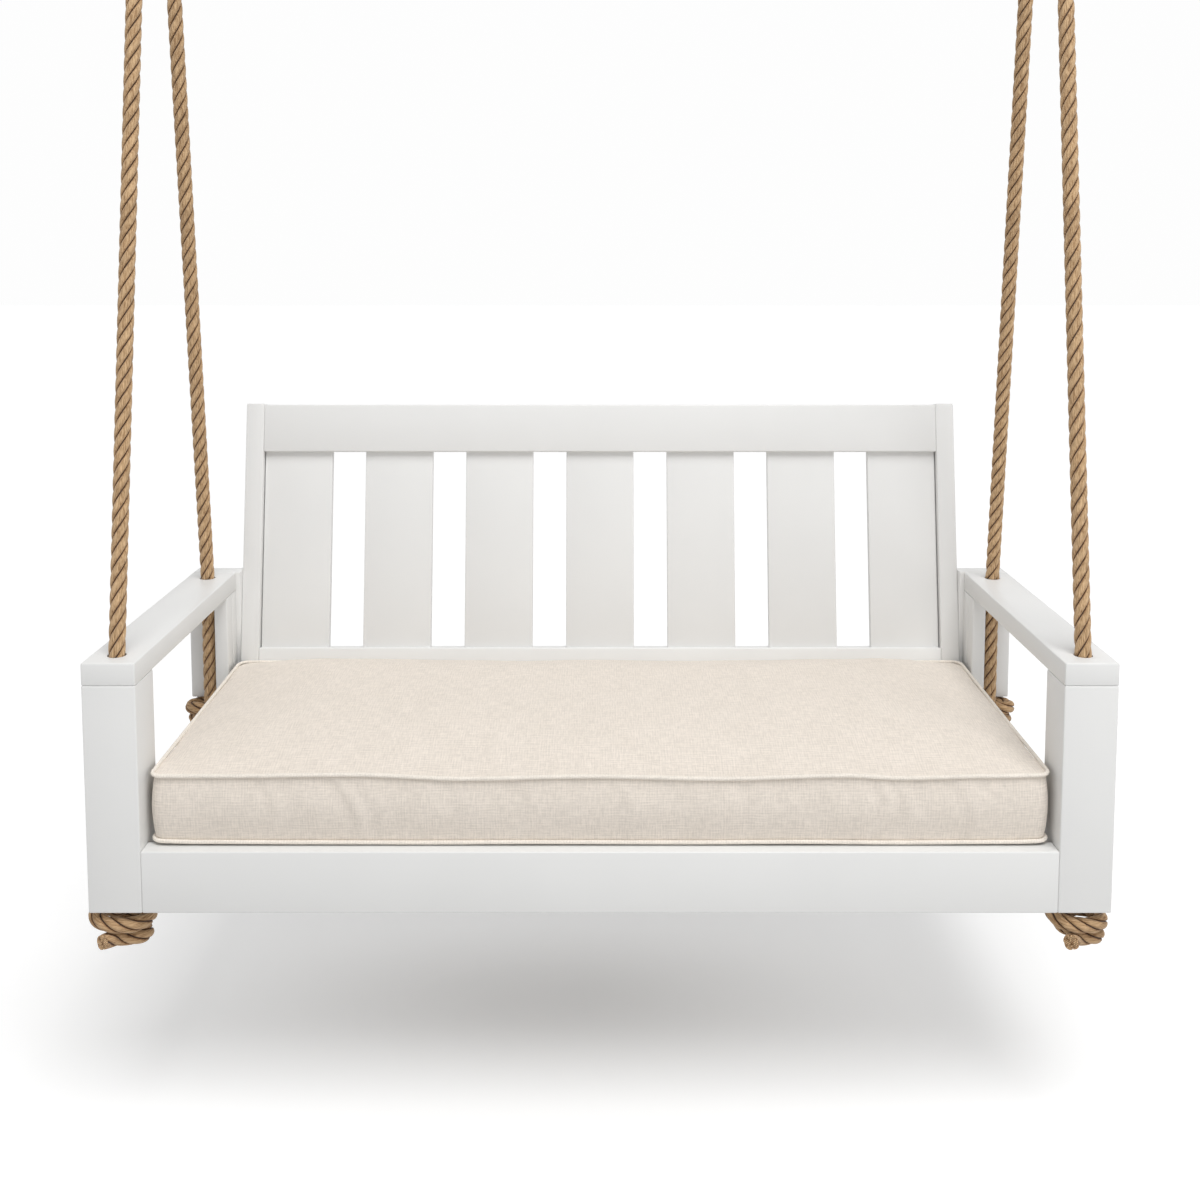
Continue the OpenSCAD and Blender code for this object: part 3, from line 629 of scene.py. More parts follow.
# %% The knots' paths
TOP = -12.6  # here the rope bears against the wood above it
KNOT = {
    "front": [(0, 0, 14), (0, 0, 6), (0, 0, -3), (-2, 0, -10), (-7, 1, -15), (-15, 3, -17), (-26, 4, -16),
        (-36, 2, TOP), (-42, -4, TOP), (-44, -12, TOP), (-42, -20, -17), (-36, -26, -21), (-27, -30, -24),
        (-12, -31, -27), (2, -31, -28), (14, -30, -28), (24, -28, -28), (32, -24, -27), (38, -17, -27),
        (40, -8, -27), (40, 2, -27), (39, 11, -27), (37, 19, -28), (31, 26, -28), (22, 30, -29), (13, 31, -30),
        (4, 31, -31), (-4, 31, -33), (-11, 29, -35), (-17, 26, -39), (-19, 22, -45), (-17, 18, -51),
        (-11, 14, -55), (-4, 13, -56), (4, 12, -56), (13, 11, -56), (22, 11, -55), (29, 9, -55), (35, 4, -54),
        (37, -4, -54), (35, -11, -54), (29, -16, -54), (22, -19, -54), (12, -20, -54), (3, -21, -54),
        (-5, -24, -54), (-12, -30, -52), (-18, -38, -50.5), (-22, -47, -49)],
    "rear": [(0, 0, 14), (0, 0, 6), (0, 0, -3), (-2, 0, -10), (-7, -1, -15), (-15, -3, -17), (-25, -4, -17),
        (-34, -2, -17), (-40, 4, -17), (-42, 12, -17), (-40, 20, -17), (-34, 26, -17), (-25, 29, -17),
        (-12, 30, -16), (2, 30, -15), (17, 28, -14), (31, 22, TOP), (38, 12, TOP), (40, 0, TOP),
        (38, -12, -15), (31, -21, -20), (18, -25, -27), (4, -23, -34), (-9, -15, -40), (-20, -4, -43),
        (-30, 9, -44), (-38, 20, -44)]}
KNOT_D = 0.0262
REAR_KNOT_OUT = 3

def knot_line(end, side):
    tail = SIDES[side] if end == "rear" else -1
    out = REAR_KNOT_OUT if end == "rear" else 0
    points = []
    for i, (x, y, z) in enumerate(KNOT[end]):
        drift = out * min(max(i - 2, 0) / 8, 1)
        points.append(spot(SIDES[side] * HOLE_X + tail * (drift - x), HOLE_Y[end] + y, FOOT[end] + z))
    eased = [(a + 2 * b + c) / 4 for a, b, c in zip(points, points[1:], points[2:])]
    return smooth_line([points[0], *eased, points[-1]], 6)

# %% [markdown]
# The tail was cut square with a knife, so its end shows the ends of the yarns.
# A honeycomb of short six-sided stubs stands on the cut, each a little
# different in height.

# %% Knots with cut ends
def yarn_ends(rope, line):
    tip, way = line[-1], (line[-1] - line[-2]).normalized()
    side = way.orthogonal().normalized()
    up = way.cross(side)
    step = 0.0029
    bm = bmesh.new()
    bm.from_mesh(rope.data)
    lay = bm.verts.layers.float_vector["lay"]
    for i in range(-5, 6):
        for j in range(-5, 6):
            u, v = (i + 0.5 * (j % 2)) * step, j * step * 0.87
            if math.hypot(u, v) > KNOT_D / 2 - 0.002:
                continue
            tall = 0.0008 + 0.0009 * (0.5 + 0.5 * math.sin(7.3 * i + 4.1 * j))
            rings = []
            for out, rise in ((1.0, -0.001), (0.95, tall - 0.0004), (0.6, tall)):
                r = 0.46 * step * out
                ring = []
                for k in range(6):
                    a = math.radians(60 * k + 30)
                    at = tip + side * (u + r * math.cos(a)) + up * (v + r * math.sin(a)) + way * rise
                    vert = bm.verts.new(at)
                    # Each stub's foot is stored deeper than its top, so the rope's painted crease shade darkens
                    # the feet between the yarn ends.
                    vert[lay] = (KNOT_D * (0.34 + 0.11 * (rise > 0)), 0.01 * i, 0.01 * j)
                    ring.append(vert)
                rings.append(ring)
            skin(bm, rings)
    bm.to_mesh(rope.data)
    bm.free()

def knot(end, side):
    line = knot_line(end, side)
    length = line_length(line)
    rope = laid_rope(f"knot_{end}_{side}_laid", KNOT_D, length, lay=4.2)
    led_along(rope, line)
    yarn_ends(rope, line)
    smooth(rope, 60)
    wear(rope, ROPE, "bed", "rope", f"bottom_knot_{end}_{side}")
    return length

for end in HOLE_Y:
    for side in SIDES:
        length = knot(end, side)
    print(end, "knots take", round(length, 3), "m of rope each")

# %% [markdown]
# ## Painted boards
# The frame is timber with eased edges, in white satin paint. A board starts as
# a cube of the solid's own size, and a bevel rounds its edges. The paint is
# nearly smooth: a roller leaves a fine texture, and the grain under it shows
# as faint lines along the board, so the material knows which way a board runs.

# %% White paint
PAINT_COLOR = (0.80, 0.80, 0.79)

def paint(along):
    mat, tree, shader = new_material(f"white_paint_{'xyz'[along]}", PAINT_COLOR, 0.42)
    place = object_place(tree)
    scale = [1, 1, 1]
    scale[along] = 0.05
    grain = noise_at(tree, stretched(tree, place, scale), Scale=120.0, Detail=4.0, Roughness=0.6)
    roller = noise_at(tree, place, Scale=420.0, Detail=2.0)
    cloud = noise_at(tree, place, Scale=5.0, Detail=2.0)
    tone = ramp(tree, cloud, [(0.3, shade(PAINT_COLOR, 0.975)), (0.7, PAINT_COLOR)])
    tree.links.new(tone, shader.inputs["Base Color"])
    tree.links.new(mapped(tree, roller, 0, 1, 0.36, 0.5), shader.inputs["Roughness"])
    bumped(tree, shader, (grain, 0.10, 0.001), (roller, 0.05, 0.0006))
    return mat

PAINTS = [paint(0), paint(1), paint(2)]

# %% Boards from their solids
def board(name, low, high, width=0.0025):
    low, high = Vector(low), Vector(high)
    bpy.ops.mesh.primitive_cube_add(size=1, location=(low + high) / 2, scale=high - low)
    obj = set_down(bpy.context.object)
    obj.name = name
    return ease(obj, width)

def drill(obj, at, way, radius, depth, tip=None):
    """Bore into obj from the point at, against the direction way. A tip radius makes the hole a cone."""
    way = Vector(way)
    near = radius if tip is None else tip
    bpy.ops.mesh.primitive_cone_add(vertices=32, radius1=near, radius2=radius, depth=depth)
    bit = bpy.context.object
    bit.matrix_world = facing(at - way * (depth / 2 - 0.0002), way)
    return smooth(cut_out(obj, bit), 40)

# %% [markdown]
# Bolts join the posts and beams to the rails, and screws hold the rear boards.
# Their heads sit in counterbores, which are cut here. The same lists place the
# heads later: a point on the board's face, and the way that the face looks.

# %% Where the bolts and screws go
ROPE_HOLE_R = 0.0155
OUT_X, BACK_Y = 851, 648
STILE_X, STILE_T, STILE_D = 715, 38, 64
BOLT_R, BOLT_SINK = 0.0091, 0.010
SCREW_R, SCREW_SINK = 0.0061, 0.006
BOLTS = {"front_post": [(19, -400), (19, -346)], "side_beam": [(591, -400), (591, -346)]}
CORNER_SCREWS = [-373, -207, -88, -19]
STILE_SCREWS = [-288, -215]

def bolt_spots(side):
    way = Vector((SIDES[side], 0, 0))
    return {part: [(spot(SIDES[side] * OUT_X, y, z), way) for y, z in spots] for part, spots in BOLTS.items()}

def corner_spots(side):
    return [(spot(SIDES[side] * HOLE_X, BACK_Y, z), Vector((0, 1, 0))) for z in CORNER_SCREWS]

def stile_spots(side):
    s = SIDES[side]
    return [(spot(s * STILE_X, 629, z), Vector((-s, 0, 0))) for z in STILE_SCREWS]

# %% Arms, posts, beams and rails
BOARDS = {"arm": 1, "front_post": 2, "rear_post": 2, "rope_guard": 2, "corner_board": 2, "side_beam": 1}
for side, s in SIDES.items():
    for part, along in BOARDS.items():
        cad = f"{part}_{side}"
        obj = board(cad + "_painted", *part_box(cad))
        if part in ("arm", "front_post"):
            for y in HOLE_Y.values() if part == "arm" else [HOLE_Y["front"]]:
                drill(obj, spot(s * HOLE_X, y, 10), (0, 0, 1), ROPE_HOLE_R, 0.5)
        for at, way in bolt_spots(side).get(part, []):
            drill(obj, at, way, BOLT_R, BOLT_SINK)
        if part == "corner_board":
            for at, way in corner_spots(side):
                drill(obj, at, way, SCREW_R, SCREW_SINK)
        wear(obj, PAINTS[along], "bed", "paint", cad)
for cad in ("front_rail", "rear_rail"):
    wear(board(cad + "_painted", *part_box(cad)), PAINTS[0], "bed", "paint", cad)

# %% [markdown]
# The back leans by ten degrees from the front edge of the rear rail. Its
# boards are made upright and then tipped about that line. The foot of each
# stile is cut level with the seat.

# %% The reclined back
LEAN = math.radians(10.3)
FOOT_LINE = Vector((0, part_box("rear_rail")[0][1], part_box("rear_rail")[1][2]))

def lean(obj):
    tip = Matrix.Translation(FOOT_LINE) @ Matrix.Rotation(-LEAN, 4, "X") @ Matrix.Translation(-FOOT_LINE)
    obj.matrix_world = tip @ obj.matrix_world
    return set_down(obj)

def back_board(name, x0, x1, y0, y1, z0, z1, width=0.0025):
    low = FOOT_LINE + Vector((x0, y0, z0)) / 1000
    high = FOOT_LINE + Vector((x1, y1, z1)) / 1000
    return lean(board(name, low, high, width))

for side, s in SIDES.items():
    x0, x1 = sorted((s * STILE_X, s * (STILE_X + STILE_T)))
    low = FOOT_LINE + Vector((x0, 0, -64)) / 1000
    high = FOOT_LINE + Vector((x1, STILE_D, 676)) / 1000
    bpy.ops.mesh.primitive_cube_add(size=1, location=(low + high) / 2, scale=high - low)
    stile = lean(set_down(bpy.context.object))
    stile.name = f"back_stile_{side}_painted"
    bpy.ops.object.mode_set(mode="EDIT")
    bpy.ops.mesh.select_all(action="SELECT")
    bpy.ops.mesh.bisect(plane_co=FOOT_LINE, plane_no=(0, 0, 1), clear_inner=True, use_fill=True)
    bpy.ops.object.mode_set(mode="OBJECT")
    ease(stile)
    for at, way in stile_spots(side):
        drill(stile, at, way, SCREW_R, SCREW_SINK)
    wear(stile, PAINTS[2], "bed", "paint", f"back_stile_{side}")

RAIL_T = 38
for cad, foot, head in (("back_top_rail", 573.5, 673.5), ("back_bottom_rail", 63, 163)):
    rail = back_board(cad + "_painted", -STILE_X, STILE_X, 0, RAIL_T, foot, head)
    wear(rail, PAINTS[0], "bed", "paint", cad)
SLAT_W, SLAT_COUNT, SLAT_X0 = 143, 7, 2 - STILE_X
PITCH = (-2 * SLAT_X0 - SLAT_W) / (SLAT_COUNT - 1)
for i in range(SLAT_COUNT):
    x = SLAT_X0 + i * PITCH
    slat = back_board(f"back_slat_{i + 1}_painted", x, x + SLAT_W, 12, 28, 151, 585.5, 0.002)
    wear(slat, PAINTS[2], "bed", "paint", f"back_slat_{i + 1}")
print("gap between back slats:", round(PITCH - SLAT_W, 1), "mm")

# %% [markdown]
# ## The seat deck
# Under the cushion, fourteen painted slats run from front to back. They rest
# on two pine ledgers, which stay bare wood.

# %% Seat slats and ledgers
def pine_material():
    mat, tree, shader = new_material("bare_pine", (0.60, 0.42, 0.22), 0.6)
    along = stretched(tree, object_place(tree), (0.06, 1, 1))
    rings = noise_at(tree, along, Scale=70.0, Detail=5.0, Roughness=0.55, Distortion=0.6)
    tone = ramp(tree, rings, [(0.32, (0.46, 0.28, 0.12)), (0.5, (0.62, 0.43, 0.23)), (0.7, (0.70, 0.52, 0.30))])
    tree.links.new(tone, shader.inputs["Base Color"])
    bumped(tree, shader, (rings, 0.2, 0.001))
    return mat

PINE = pine_material()
low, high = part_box("seat_slats")
DECK_W, DECK_SLATS, DECK_SLAT_HALF = 1.524, 14, 0.035
pitch = DECK_W / DECK_SLATS
DECK_SCREW_Y = (57, 553)
deck_spots, slats = [], []
for i in range(DECK_SLATS):
    x = -DECK_W / 2 + (i + 0.5) * pitch
    slat = board("slat", (x - DECK_SLAT_HALF, low[1], low[2]), (x + DECK_SLAT_HALF, high[1], high[2]), 0.002)
    for y in DECK_SCREW_Y:
        at = Vector((x, y / 1000 + ARM_FRONT, high[2]))
        drill(slat, at, (0, 0, 1), 0.0048, 0.0037, tip=0.0023)
        deck_spots.append((at, Vector((0, 0, 1))))
    slats.append(slat)
wear(join(slats, "seat_slats_painted"), PAINTS[1], "bed", "paint", "seat_slats")
low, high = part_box("seat_ledgers")
LEDGER_T = 0.038
front = board("ledger", (low[0], low[1], low[2]), (high[0], low[1] + LEDGER_T, high[2]), 0.0015)
rear = board("ledger", (low[0], high[1] - LEDGER_T, low[2]), (high[0], high[1], high[2]), 0.0015)
wear(join([front, rear], "seat_ledgers_bare"), PINE, "bed", "pine", "seat_ledgers")

# %% [markdown]
# ## Bolts and screws
# Each head is a short cylinder with an eased rim and a six-sided socket for a
# key, on a plain shaft. One of each size is modelled, and copies of it go to
# the places listed above.

# %% One fastener of each size
def fastener(head_r, head_l, shaft_r, shaft_l, socket_r, cone=False):
    """A bolt or screw with its head's face at z = 0, pointing down, in metres."""
    near, middle = shaft_r if cone else head_r, (0, 0, -head_l / 2)
    bpy.ops.mesh.primitive_cone_add(vertices=32, radius1=near, radius2=head_r, depth=head_l, location=middle)
    head = set_down(bpy.context.object)
    if not cone:
        ease(head, 0.0008)
    bpy.ops.mesh.primitive_cylinder_add(vertices=6, radius=socket_r, depth=head_l, location=(0, 0, 0.0002))
    cut_out(head, bpy.context.object)
    middle = (0, 0, -head_l - shaft_l / 2 + 0.0002)
    bpy.ops.mesh.primitive_cylinder_add(vertices=16, radius=shaft_r, depth=shaft_l, location=middle)
    return smooth(join([head, set_down(bpy.context.object)], "fastener"), 40)

def fasten(model, spots, sink, name, cad, mat):
    copies = []
    for at, way in spots:
        one = model.copy()
        one.data = model.data.copy()
        bpy.context.collection.objects.link(one)
        one.matrix_world = facing(at - way * sink, way)
        copies.append(set_down(one))
    bpy.data.objects.remove(model)
    wear(join(copies, name), mat, "bed", "steel", cad)

bolts = [place for side in SIDES for spots in bolt_spots(side).values() for place in spots]
fasten(fastener(0.009, 0.008, 0.004, 0.139, 0.0042), bolts, 0.002, "rail_bolts_socket",
    "rail_bolts", GALVANISED)
screws = [place for side in SIDES for place in corner_spots(side) + stile_spots(side)]
fasten(fastener(0.006, 0.004, 0.003, 0.056, 0.0028), screws, 0.002, "corner_screws_socket",
    "corner_screws", BRIGHT)
fasten(fastener(0.0045, 0.0035, 0.0022, 0.0415, 0.0019, cone=True), deck_spots, 0.0001, "deck_screws_socket",
    "deck_screws", BRIGHT)
print(len(bolts), "bolts,", len(screws), "screws and", len(deck_spots), "deck screws")

# %% The dowels stay as they are, in bare wood
dowels = bpy.data.objects["arm_dowels"]
for slot in dowels.material_slots:
    slot.material = PINE

# %% [markdown]
# ## The cushion
# A boxed cushion has a top and a bottom panel joined by an upright band, the
# boxing, with a corded seam along both edges. We start from a rounded slab of
# the right plan, lean its back with the frame, and let a cloth simulation with
# air pressure swell the panels between the seams. The seams, the bottom and the
# back are pinned, because the cushion rests on one and leans on the other.

# %% The cushion's plan and seams
SEAM_LOW, SEAM_HIGH = -316.2, -201.2
RISE = 14  # how much higher the boxing is at the back
CUSHION_X, CUSHION_Y0, CUSHION_Y1 = 747.9, 28.1, 563.95
CUSHION_L = CUSHION_Y1 - CUSHION_Y0
CORNER = 16
CROWN = 32  # before the air swells it
CROWN_RUNS = 210, 230, 88  # how far in it keeps rising, from the sides, the front and the back

def plan(inset, side_parts=(60, 24, 60, 24), corner_parts=8):
    r = max(CORNER - inset, 2)
    x, y0, y1 = CUSHION_X - inset - r, CUSHION_Y0 + inset + r, CUSHION_Y1 - inset - r
    centres = [(x, y0), (x, y1), (-x, y1), (-x, y0)]
    points = []
    for q in range(4):
        c, nxt = centres[q], centres[(q + 1) % 4]
        for k in range(corner_parts + 1):
            a = math.radians(90 * q - 90 + 90 * k / corner_parts)
            points.append((c[0] + r * math.cos(a), c[1] + r * math.sin(a), a))
        n = side_parts[(q + 1) % 4]
        a = math.radians(90 * q)
        for k in range(1, n):
            t = k / n
            x_on = c[0] + r * math.cos(a) + t * (nxt[0] - c[0])
            y_on = c[1] + r * math.sin(a) + t * (nxt[1] - c[1])
            points.append((x_on, y_on, a))
    return points

def raised(y):
    return 1 + RISE * (y - CUSHION_Y0) / CUSHION_L / (SEAM_HIGH - SEAM_LOW)

def lean_back(x, y, z):
    """Raise the boxing towards the back, and lean it with the bed's back."""
    if z > SEAM_LOW:
        z = SEAM_LOW + (z - SEAM_LOW) * raised(y)
    return x, y + (z - SEAM_LOW) * math.tan(LEAN) * (y - CUSHION_Y0) / CUSHION_L, z

def upright(x, y, z):
    """The opposite of lean_back."""
    k = (z - SEAM_LOW) * math.tan(LEAN) / CUSHION_L
    y = (y + k * CUSHION_Y0) / (1 + k)
    return x, y, SEAM_LOW + (z - SEAM_LOW) / raised(y) if z > SEAM_LOW else z

# %% The slab
BULGE = 7

def crown(x, y):
    """How far the top panel rises over its seam at a point, in mm."""
    share = 1
    for inside, run in zip((CUSHION_X - abs(x), y - CUSHION_Y0, CUSHION_Y1 - y), CROWN_RUNS):
        share *= 1 - (1 - min(max(inside / run, 0), 1)) ** 2.2
    return CROWN * share

def cushion_slab():
    bm = bmesh.new()
    rings = [(12, SEAM_LOW - 3.5, 0), (0, SEAM_LOW, 0)]
    for t in (0.1, 0.2, 0.35, 0.5, 0.65, 0.8, 0.9):
        rings.append((0, SEAM_LOW + t * (SEAM_HIGH - SEAM_LOW), BULGE * math.sin(math.pi * t) ** 0.7))
    rings += [(w, SEAM_HIGH, 0) for w in (0, 5, 12, 22, 34, 48, 64, 82, 100, 125, 155, 190, 230)]
    loops = []
    for inset, z, bulge in rings:
        loop = []
        for x, y, a in plan(inset):
            b = 0 if math.sin(a) > 0.4 else bulge
            up = crown(x, y) if z == SEAM_HIGH else 0
            loop.append(bm.verts.new(spot(*lean_back(x + b * math.cos(a), y + b * math.sin(a), z + up))))
        loops.append(loop)
    skin(bm, loops)
    return from_bmesh(bm, "cushion", "cushion_cover_linen")

cushion = cushion_slab()
remesh = cushion.modifiers.new("Even mesh", "REMESH")
remesh.mode = "VOXEL"
remesh.voxel_size = 0.009
apply_modifiers(cushion)
print("cushion mesh:", len(cushion.data.polygons), "faces")

# %% Swell it with air
def bed_mm(co):
    return upright(co.x * 1000, (co.y - ARM_FRONT) * 1000, (co.z - ARM_TOP) * 1000)

def to_side(x, y):
    """How far a point lies inside the plan's outline, in mm, and the shortest way out."""
    middle = (CUSHION_Y0 + CUSHION_Y1) / 2
    u, v = abs(x) - CUSHION_X + CORNER, abs(y - middle) - CUSHION_L / 2 + CORNER
    if u > 0 and v > 0:
        way = Vector((u, v, 0)).normalized()
    else:
        way = Vector((1, 0, 0)) if u > v else Vector((0, 1, 0))
    inside = CORNER - way.dot((u, v, 0))
    return inside, Vector((math.copysign(way.x, x), math.copysign(way.y, y - middle), 0))

def seam_distance(x, y, z):
    """How far a point lies from the nearest seam, along the panel that it is in, in mm."""
    if SEAM_LOW < z < SEAM_HIGH:
        return min(z - SEAM_LOW, SEAM_HIGH - z)
    return max(to_side(x, y)[0], 0)

def held(x, y, z):
    at_seam = to_side(x, y)[0] < 7 and (abs(z - SEAM_HIGH) < 7 or z < SEAM_LOW + 7)
    at_back = CUSHION_Y1 - y < 9 and z < SEAM_HIGH + 7
    return z < SEAM_LOW + 1 or at_seam or at_back

def swell(obj, pressure, cap, frames=20):
    start = [v.co.copy() for v in obj.data.vertices]
    pins = obj.vertex_groups.new(name="pins")
    pins.add([v.index for v in obj.data.vertices if held(*bed_mm(v.co))], 1.0, "REPLACE")
    cloth = obj.modifiers.new("Air", "CLOTH")
    cloth.settings.quality = 5
    cloth.settings.vertex_group_mass = "pins"
    cloth.settings.use_pressure = True
    cloth.settings.uniform_pressure_force = pressure
    cloth.settings.effector_weights.gravity = 0
    cloth.point_cache.frame_start, cloth.point_cache.frame_end = 1, frames
    for f in range(1, frames + 1):
        bpy.context.scene.frame_set(f)
    apply_modifiers(obj)
    bpy.context.scene.frame_set(1)
    obj.vertex_groups.clear()
    most = 0
    for v, p in zip(obj.data.vertices, start):
        move = v.co - p
        if move.length > 1e-7:
            most = max(most, move.length)
            free = 1 - math.exp(-(seam_distance(*bed_mm(p)) / 24) ** 2)
            v.co = p + move * (free * cap * math.tanh(move.length / cap) / move.length)
    return most

print("the air moves the cloth by up to", round(1000 * swell(cushion, 4, 0.009), 1), "mm")

# %% [markdown]
# A sewn cushion is never quite regular. The top seam wanders up and down by a
# few millimetres, the boxing has a few soft folds that the stuffing pushes out,
# and both ends of each fold gather at the seams. One function describes these
# moves, and the piping's path goes through it too, so it stays on the seam.

# %% Wandering seams and soft folds
from mathutils import noise

SEAM_WAVE = [(-760, 1), (-640, 1), (-416, 3.5), (-225, -3.5), (-17, 0.5), (200, -3.5), (416, 2),
    (499, -2.5), (650, 1), (760, 3)]
LOW_WAVE = [(-760, 4.5), (-680, 2.5), (-500, 1.8), (-300, 1.4), (-100, 2.2), (150, 1.6), (330, 2.6),
    (500, 1.4), (690, 2.5), (760, 4.5)]
FOLDS = [(-568, 0.0, 2.2, 11), (-434, 0.42, 3.0, 12), (-395, 0.3, 1.6, 14), (-250, 0.1, 1.5, 16),
    (-140, -0.15, 1.8, 15), (30, 0.1, 1.2, 18), (240, -0.1, 1.4, 16), (452, -0.12, 2.4, 12),
    (488, 0.05, 1.6, 10), (596, 0.2, 2.0, 12)]  # place, slant, depth and width of each

def along_list(stops, x):
    for (x0, a), (x1, b) in zip(stops, stops[1:]):
        if x0 <= x <= x1:
            return a + (b - a) * (0.5 - 0.5 * math.cos(math.pi * (x - x0) / (x1 - x0)))
    return 0

def settle(x, y, z):
    """How far the sewn cushion departs from a regular one at a point, in mm: (x, y, z)."""
    up = min(max((z - SEAM_LOW) / (SEAM_HIGH - SEAM_LOW), 0), 1)
    inside = max(to_side(x, y)[0], 0)
    near_front = math.exp(-((y - CUSHION_Y0) / 150) ** 2)
    fade = math.exp(-(inside / 100) ** 2) * (0.4 + 0.6 * near_front)
    dz = (along_list(SEAM_WAVE, x) * up + along_list(LOW_WAVE, x) * (1 - up) * near_front) * fade
    return 0, 0, dz

def fold(x, z):
    up = min(max((z - SEAM_LOW) / (SEAM_HIGH - SEAM_LOW), 0), 1)
    middle = math.sin(math.pi * up) ** 0.6 if 0 < up < 1 else 0
    out = 0
    for x0, slant, depth, width in FOLDS:
        u = (x - x0 - slant * (SEAM_HIGH - z - 57)) / width
        out += depth * 2.2 * u * math.exp(-u * u)
    creases = 2.4 * noise.noise(Vector((x / 55, z / 160, 3.1)))
    creases += 1.1 * noise.noise(Vector((x / 22, z / 70, 7.7)))
    return (out + creases) * middle

def sew(obj):
    for v in obj.data.vertices:
        x, y, z = bed_mm(v.co)
        inside, way = to_side(x, y)
        move = Vector(settle(x, y, z))
        if inside < 12 and y < 400:
            move += way * fold(x + 2.3 * (y - CUSHION_Y0), z)
        if z > SEAM_HIGH + 2:
            away = math.exp(-(max(inside - 12, 0) / 35) ** 2)
            puckers = 0.9 * away * noise.noise(Vector((x / 17, y / 60, 2.2)))
            hollows = 1.6 * noise.noise(Vector((x / 120, y / 90, 5.5)))
            move.z += puckers + hollows
        # At the seams the cloth is drawn out to the piping.
        if z > SEAM_LOW - 1:
            move += way * (inside + 3.0) * math.exp(-(seam_distance(x, y, z) / 6) ** 2)
        v.co += move / 1000
    smoother = obj.modifiers.new("Finer", "SUBSURF")
    smoother.levels = smoother.render_levels = 1
    apply_modifiers(obj)

sew(cushion)
print("finished cover:", len(cushion.data.polygons), "faces")

# %% [markdown]
# Linen is woven from uneven yarns. Thick places, or slubs, show as short pale
# dashes along both directions of the weave, denser in some patches than in
# others. The pattern follows each flat panel, so we lay the cloth's own
# coordinates, in metres, on the panels by the way that each face looks.

# %% The cloth's own coordinates
def lay_cloth(obj):
    layer = obj.data.uv_layers.new(name="Cloth")
    for face in obj.data.polygons:
        n = face.normal
        for k in face.loop_indices:
            co = obj.data.vertices[obj.data.loops[k].vertex_index].co
            if abs(n.z) > 0.6:
                uv = (co.x, co.y)
            elif abs(n.y) > abs(n.x):
                uv = (co.x, co.z)
            else:
                uv = (co.y, co.z)
            layer.data[k].uv = uv

# %% Linen
def linen_material(name, color, object_coordinates=False):
    mat, tree, shader = new_material(name, color, 0.92)
    if object_coordinates:
        place = object_place(tree)
    else:
        place = node(tree, "ShaderNodeUVMap", uv_map="Cloth").outputs["UV"]

    def noise_along(along, size, length):
        scale = [1, 1, 1]
        scale[along] = size / length
        return noise_at(tree, stretched(tree, place, scale), Scale=1000.0 / size, Detail=2.0, Roughness=0.5)

    def bands(direction, pitch):
        n = node(tree, "ShaderNodeTexWave", bands_direction=direction, wave_profile="SIN",
            Distortion=1.1, Detail=1.0)
        n.inputs["Scale"].default_value = 1000 / pitch / 3.18
        n.inputs["Detail Scale"].default_value = 0.3
        tree.links.new(place, n.inputs["Vector"])
        return n.outputs["Fac"]

    slub = math_of(tree, "ADD", noise_along(1, 2.6, 22), noise_along(0, 2.6, 26))
    fine = math_of(tree, "ADD", noise_along(1, 0.9, 7), noise_along(0, 0.9, 7))
    weave = math_of(tree, "ADD", bands("X", 4.6), bands("Y", 4.6))
    pale = tuple(min(1.0, c) for c in shade(color, 1.07))
    slubs = ramp(tree, math_of(tree, "MULTIPLY", slub, 0.5),
        [(0.40, shade(color, 0.93)), (0.50, color), (0.60, pale)])
    threads = ramp(tree, math_of(tree, "MULTIPLY", fine, 0.5),
        [(0.4, (0.95, 0.95, 0.945)), (0.6, (1.04, 1.04, 1.04))])
    cloud = ramp(tree, noise_along(0, 60, 60), [(0.35, (0.985, 0.984, 0.98)), (0.65, (1.01, 1.01, 1.01))])
    grid = ramp(tree, math_of(tree, "MULTIPLY", weave, 0.5),
        [(0.2, (0.968, 0.966, 0.962)), (0.8, (1.028, 1.028, 1.026))])
    tree.links.new(multiplied(tree, slubs, threads, cloud, grid), shader.inputs["Base Color"])
    bumped(tree, shader, (slub, 0.35, 0.0006), (fine, 0.3, 0.0003))
    shader.inputs["Sheen Weight"].default_value = 0.12
    shader.inputs["Sheen Roughness"].default_value = 0.5
    return mat

LINEN_COLOR = (0.775, 0.705, 0.632)
LINEN = linen_material("linen", LINEN_COLOR)
CORDING = linen_material("linen_piping", (0.84, 0.78, 0.705), object_coordinates=True)
lay_cloth(cushion)
wear(cushion, LINEN, "cushion", "linen", "cushion_cover", "cushion_core")
smooth(cushion, 80)

# %% [markdown]
# Piping is a cord wrapped in a strip of the same linen and sewn into both
# seams. It stands just outside the edge, so a thin line of shade runs beneath.

# %% The piping
PIPING_OUT, PIPING_R = 3.6, 3.5

def seam_line(z):
    points = []
    for x, y, a in plan(0):
        wave = settle(x, y, z)[2]
        x, y, level = lean_back(x, y, z)
        points.append(spot(x + PIPING_OUT * math.cos(a), y + PIPING_OUT * math.sin(a), level + wave))
    return points

cords = [tube(name, seam_line(z), PIPING_R / 1000, closed=True, parts=3)
    for name, z in (("piping_low", SEAM_LOW), ("piping_high", SEAM_HIGH))]
piping = smooth(join(cords, "cushion_piping_sewn"), 80)
wear(piping, CORDING, "cushion", "piping", "cushion_piping")

# %% [markdown]
# A zip runs across the back of the boxing, so that the cover can be taken off.
# Its tape is woven cotton, its teeth are one small block repeated along both
# edges, and the slider is a little metal body with a pull.

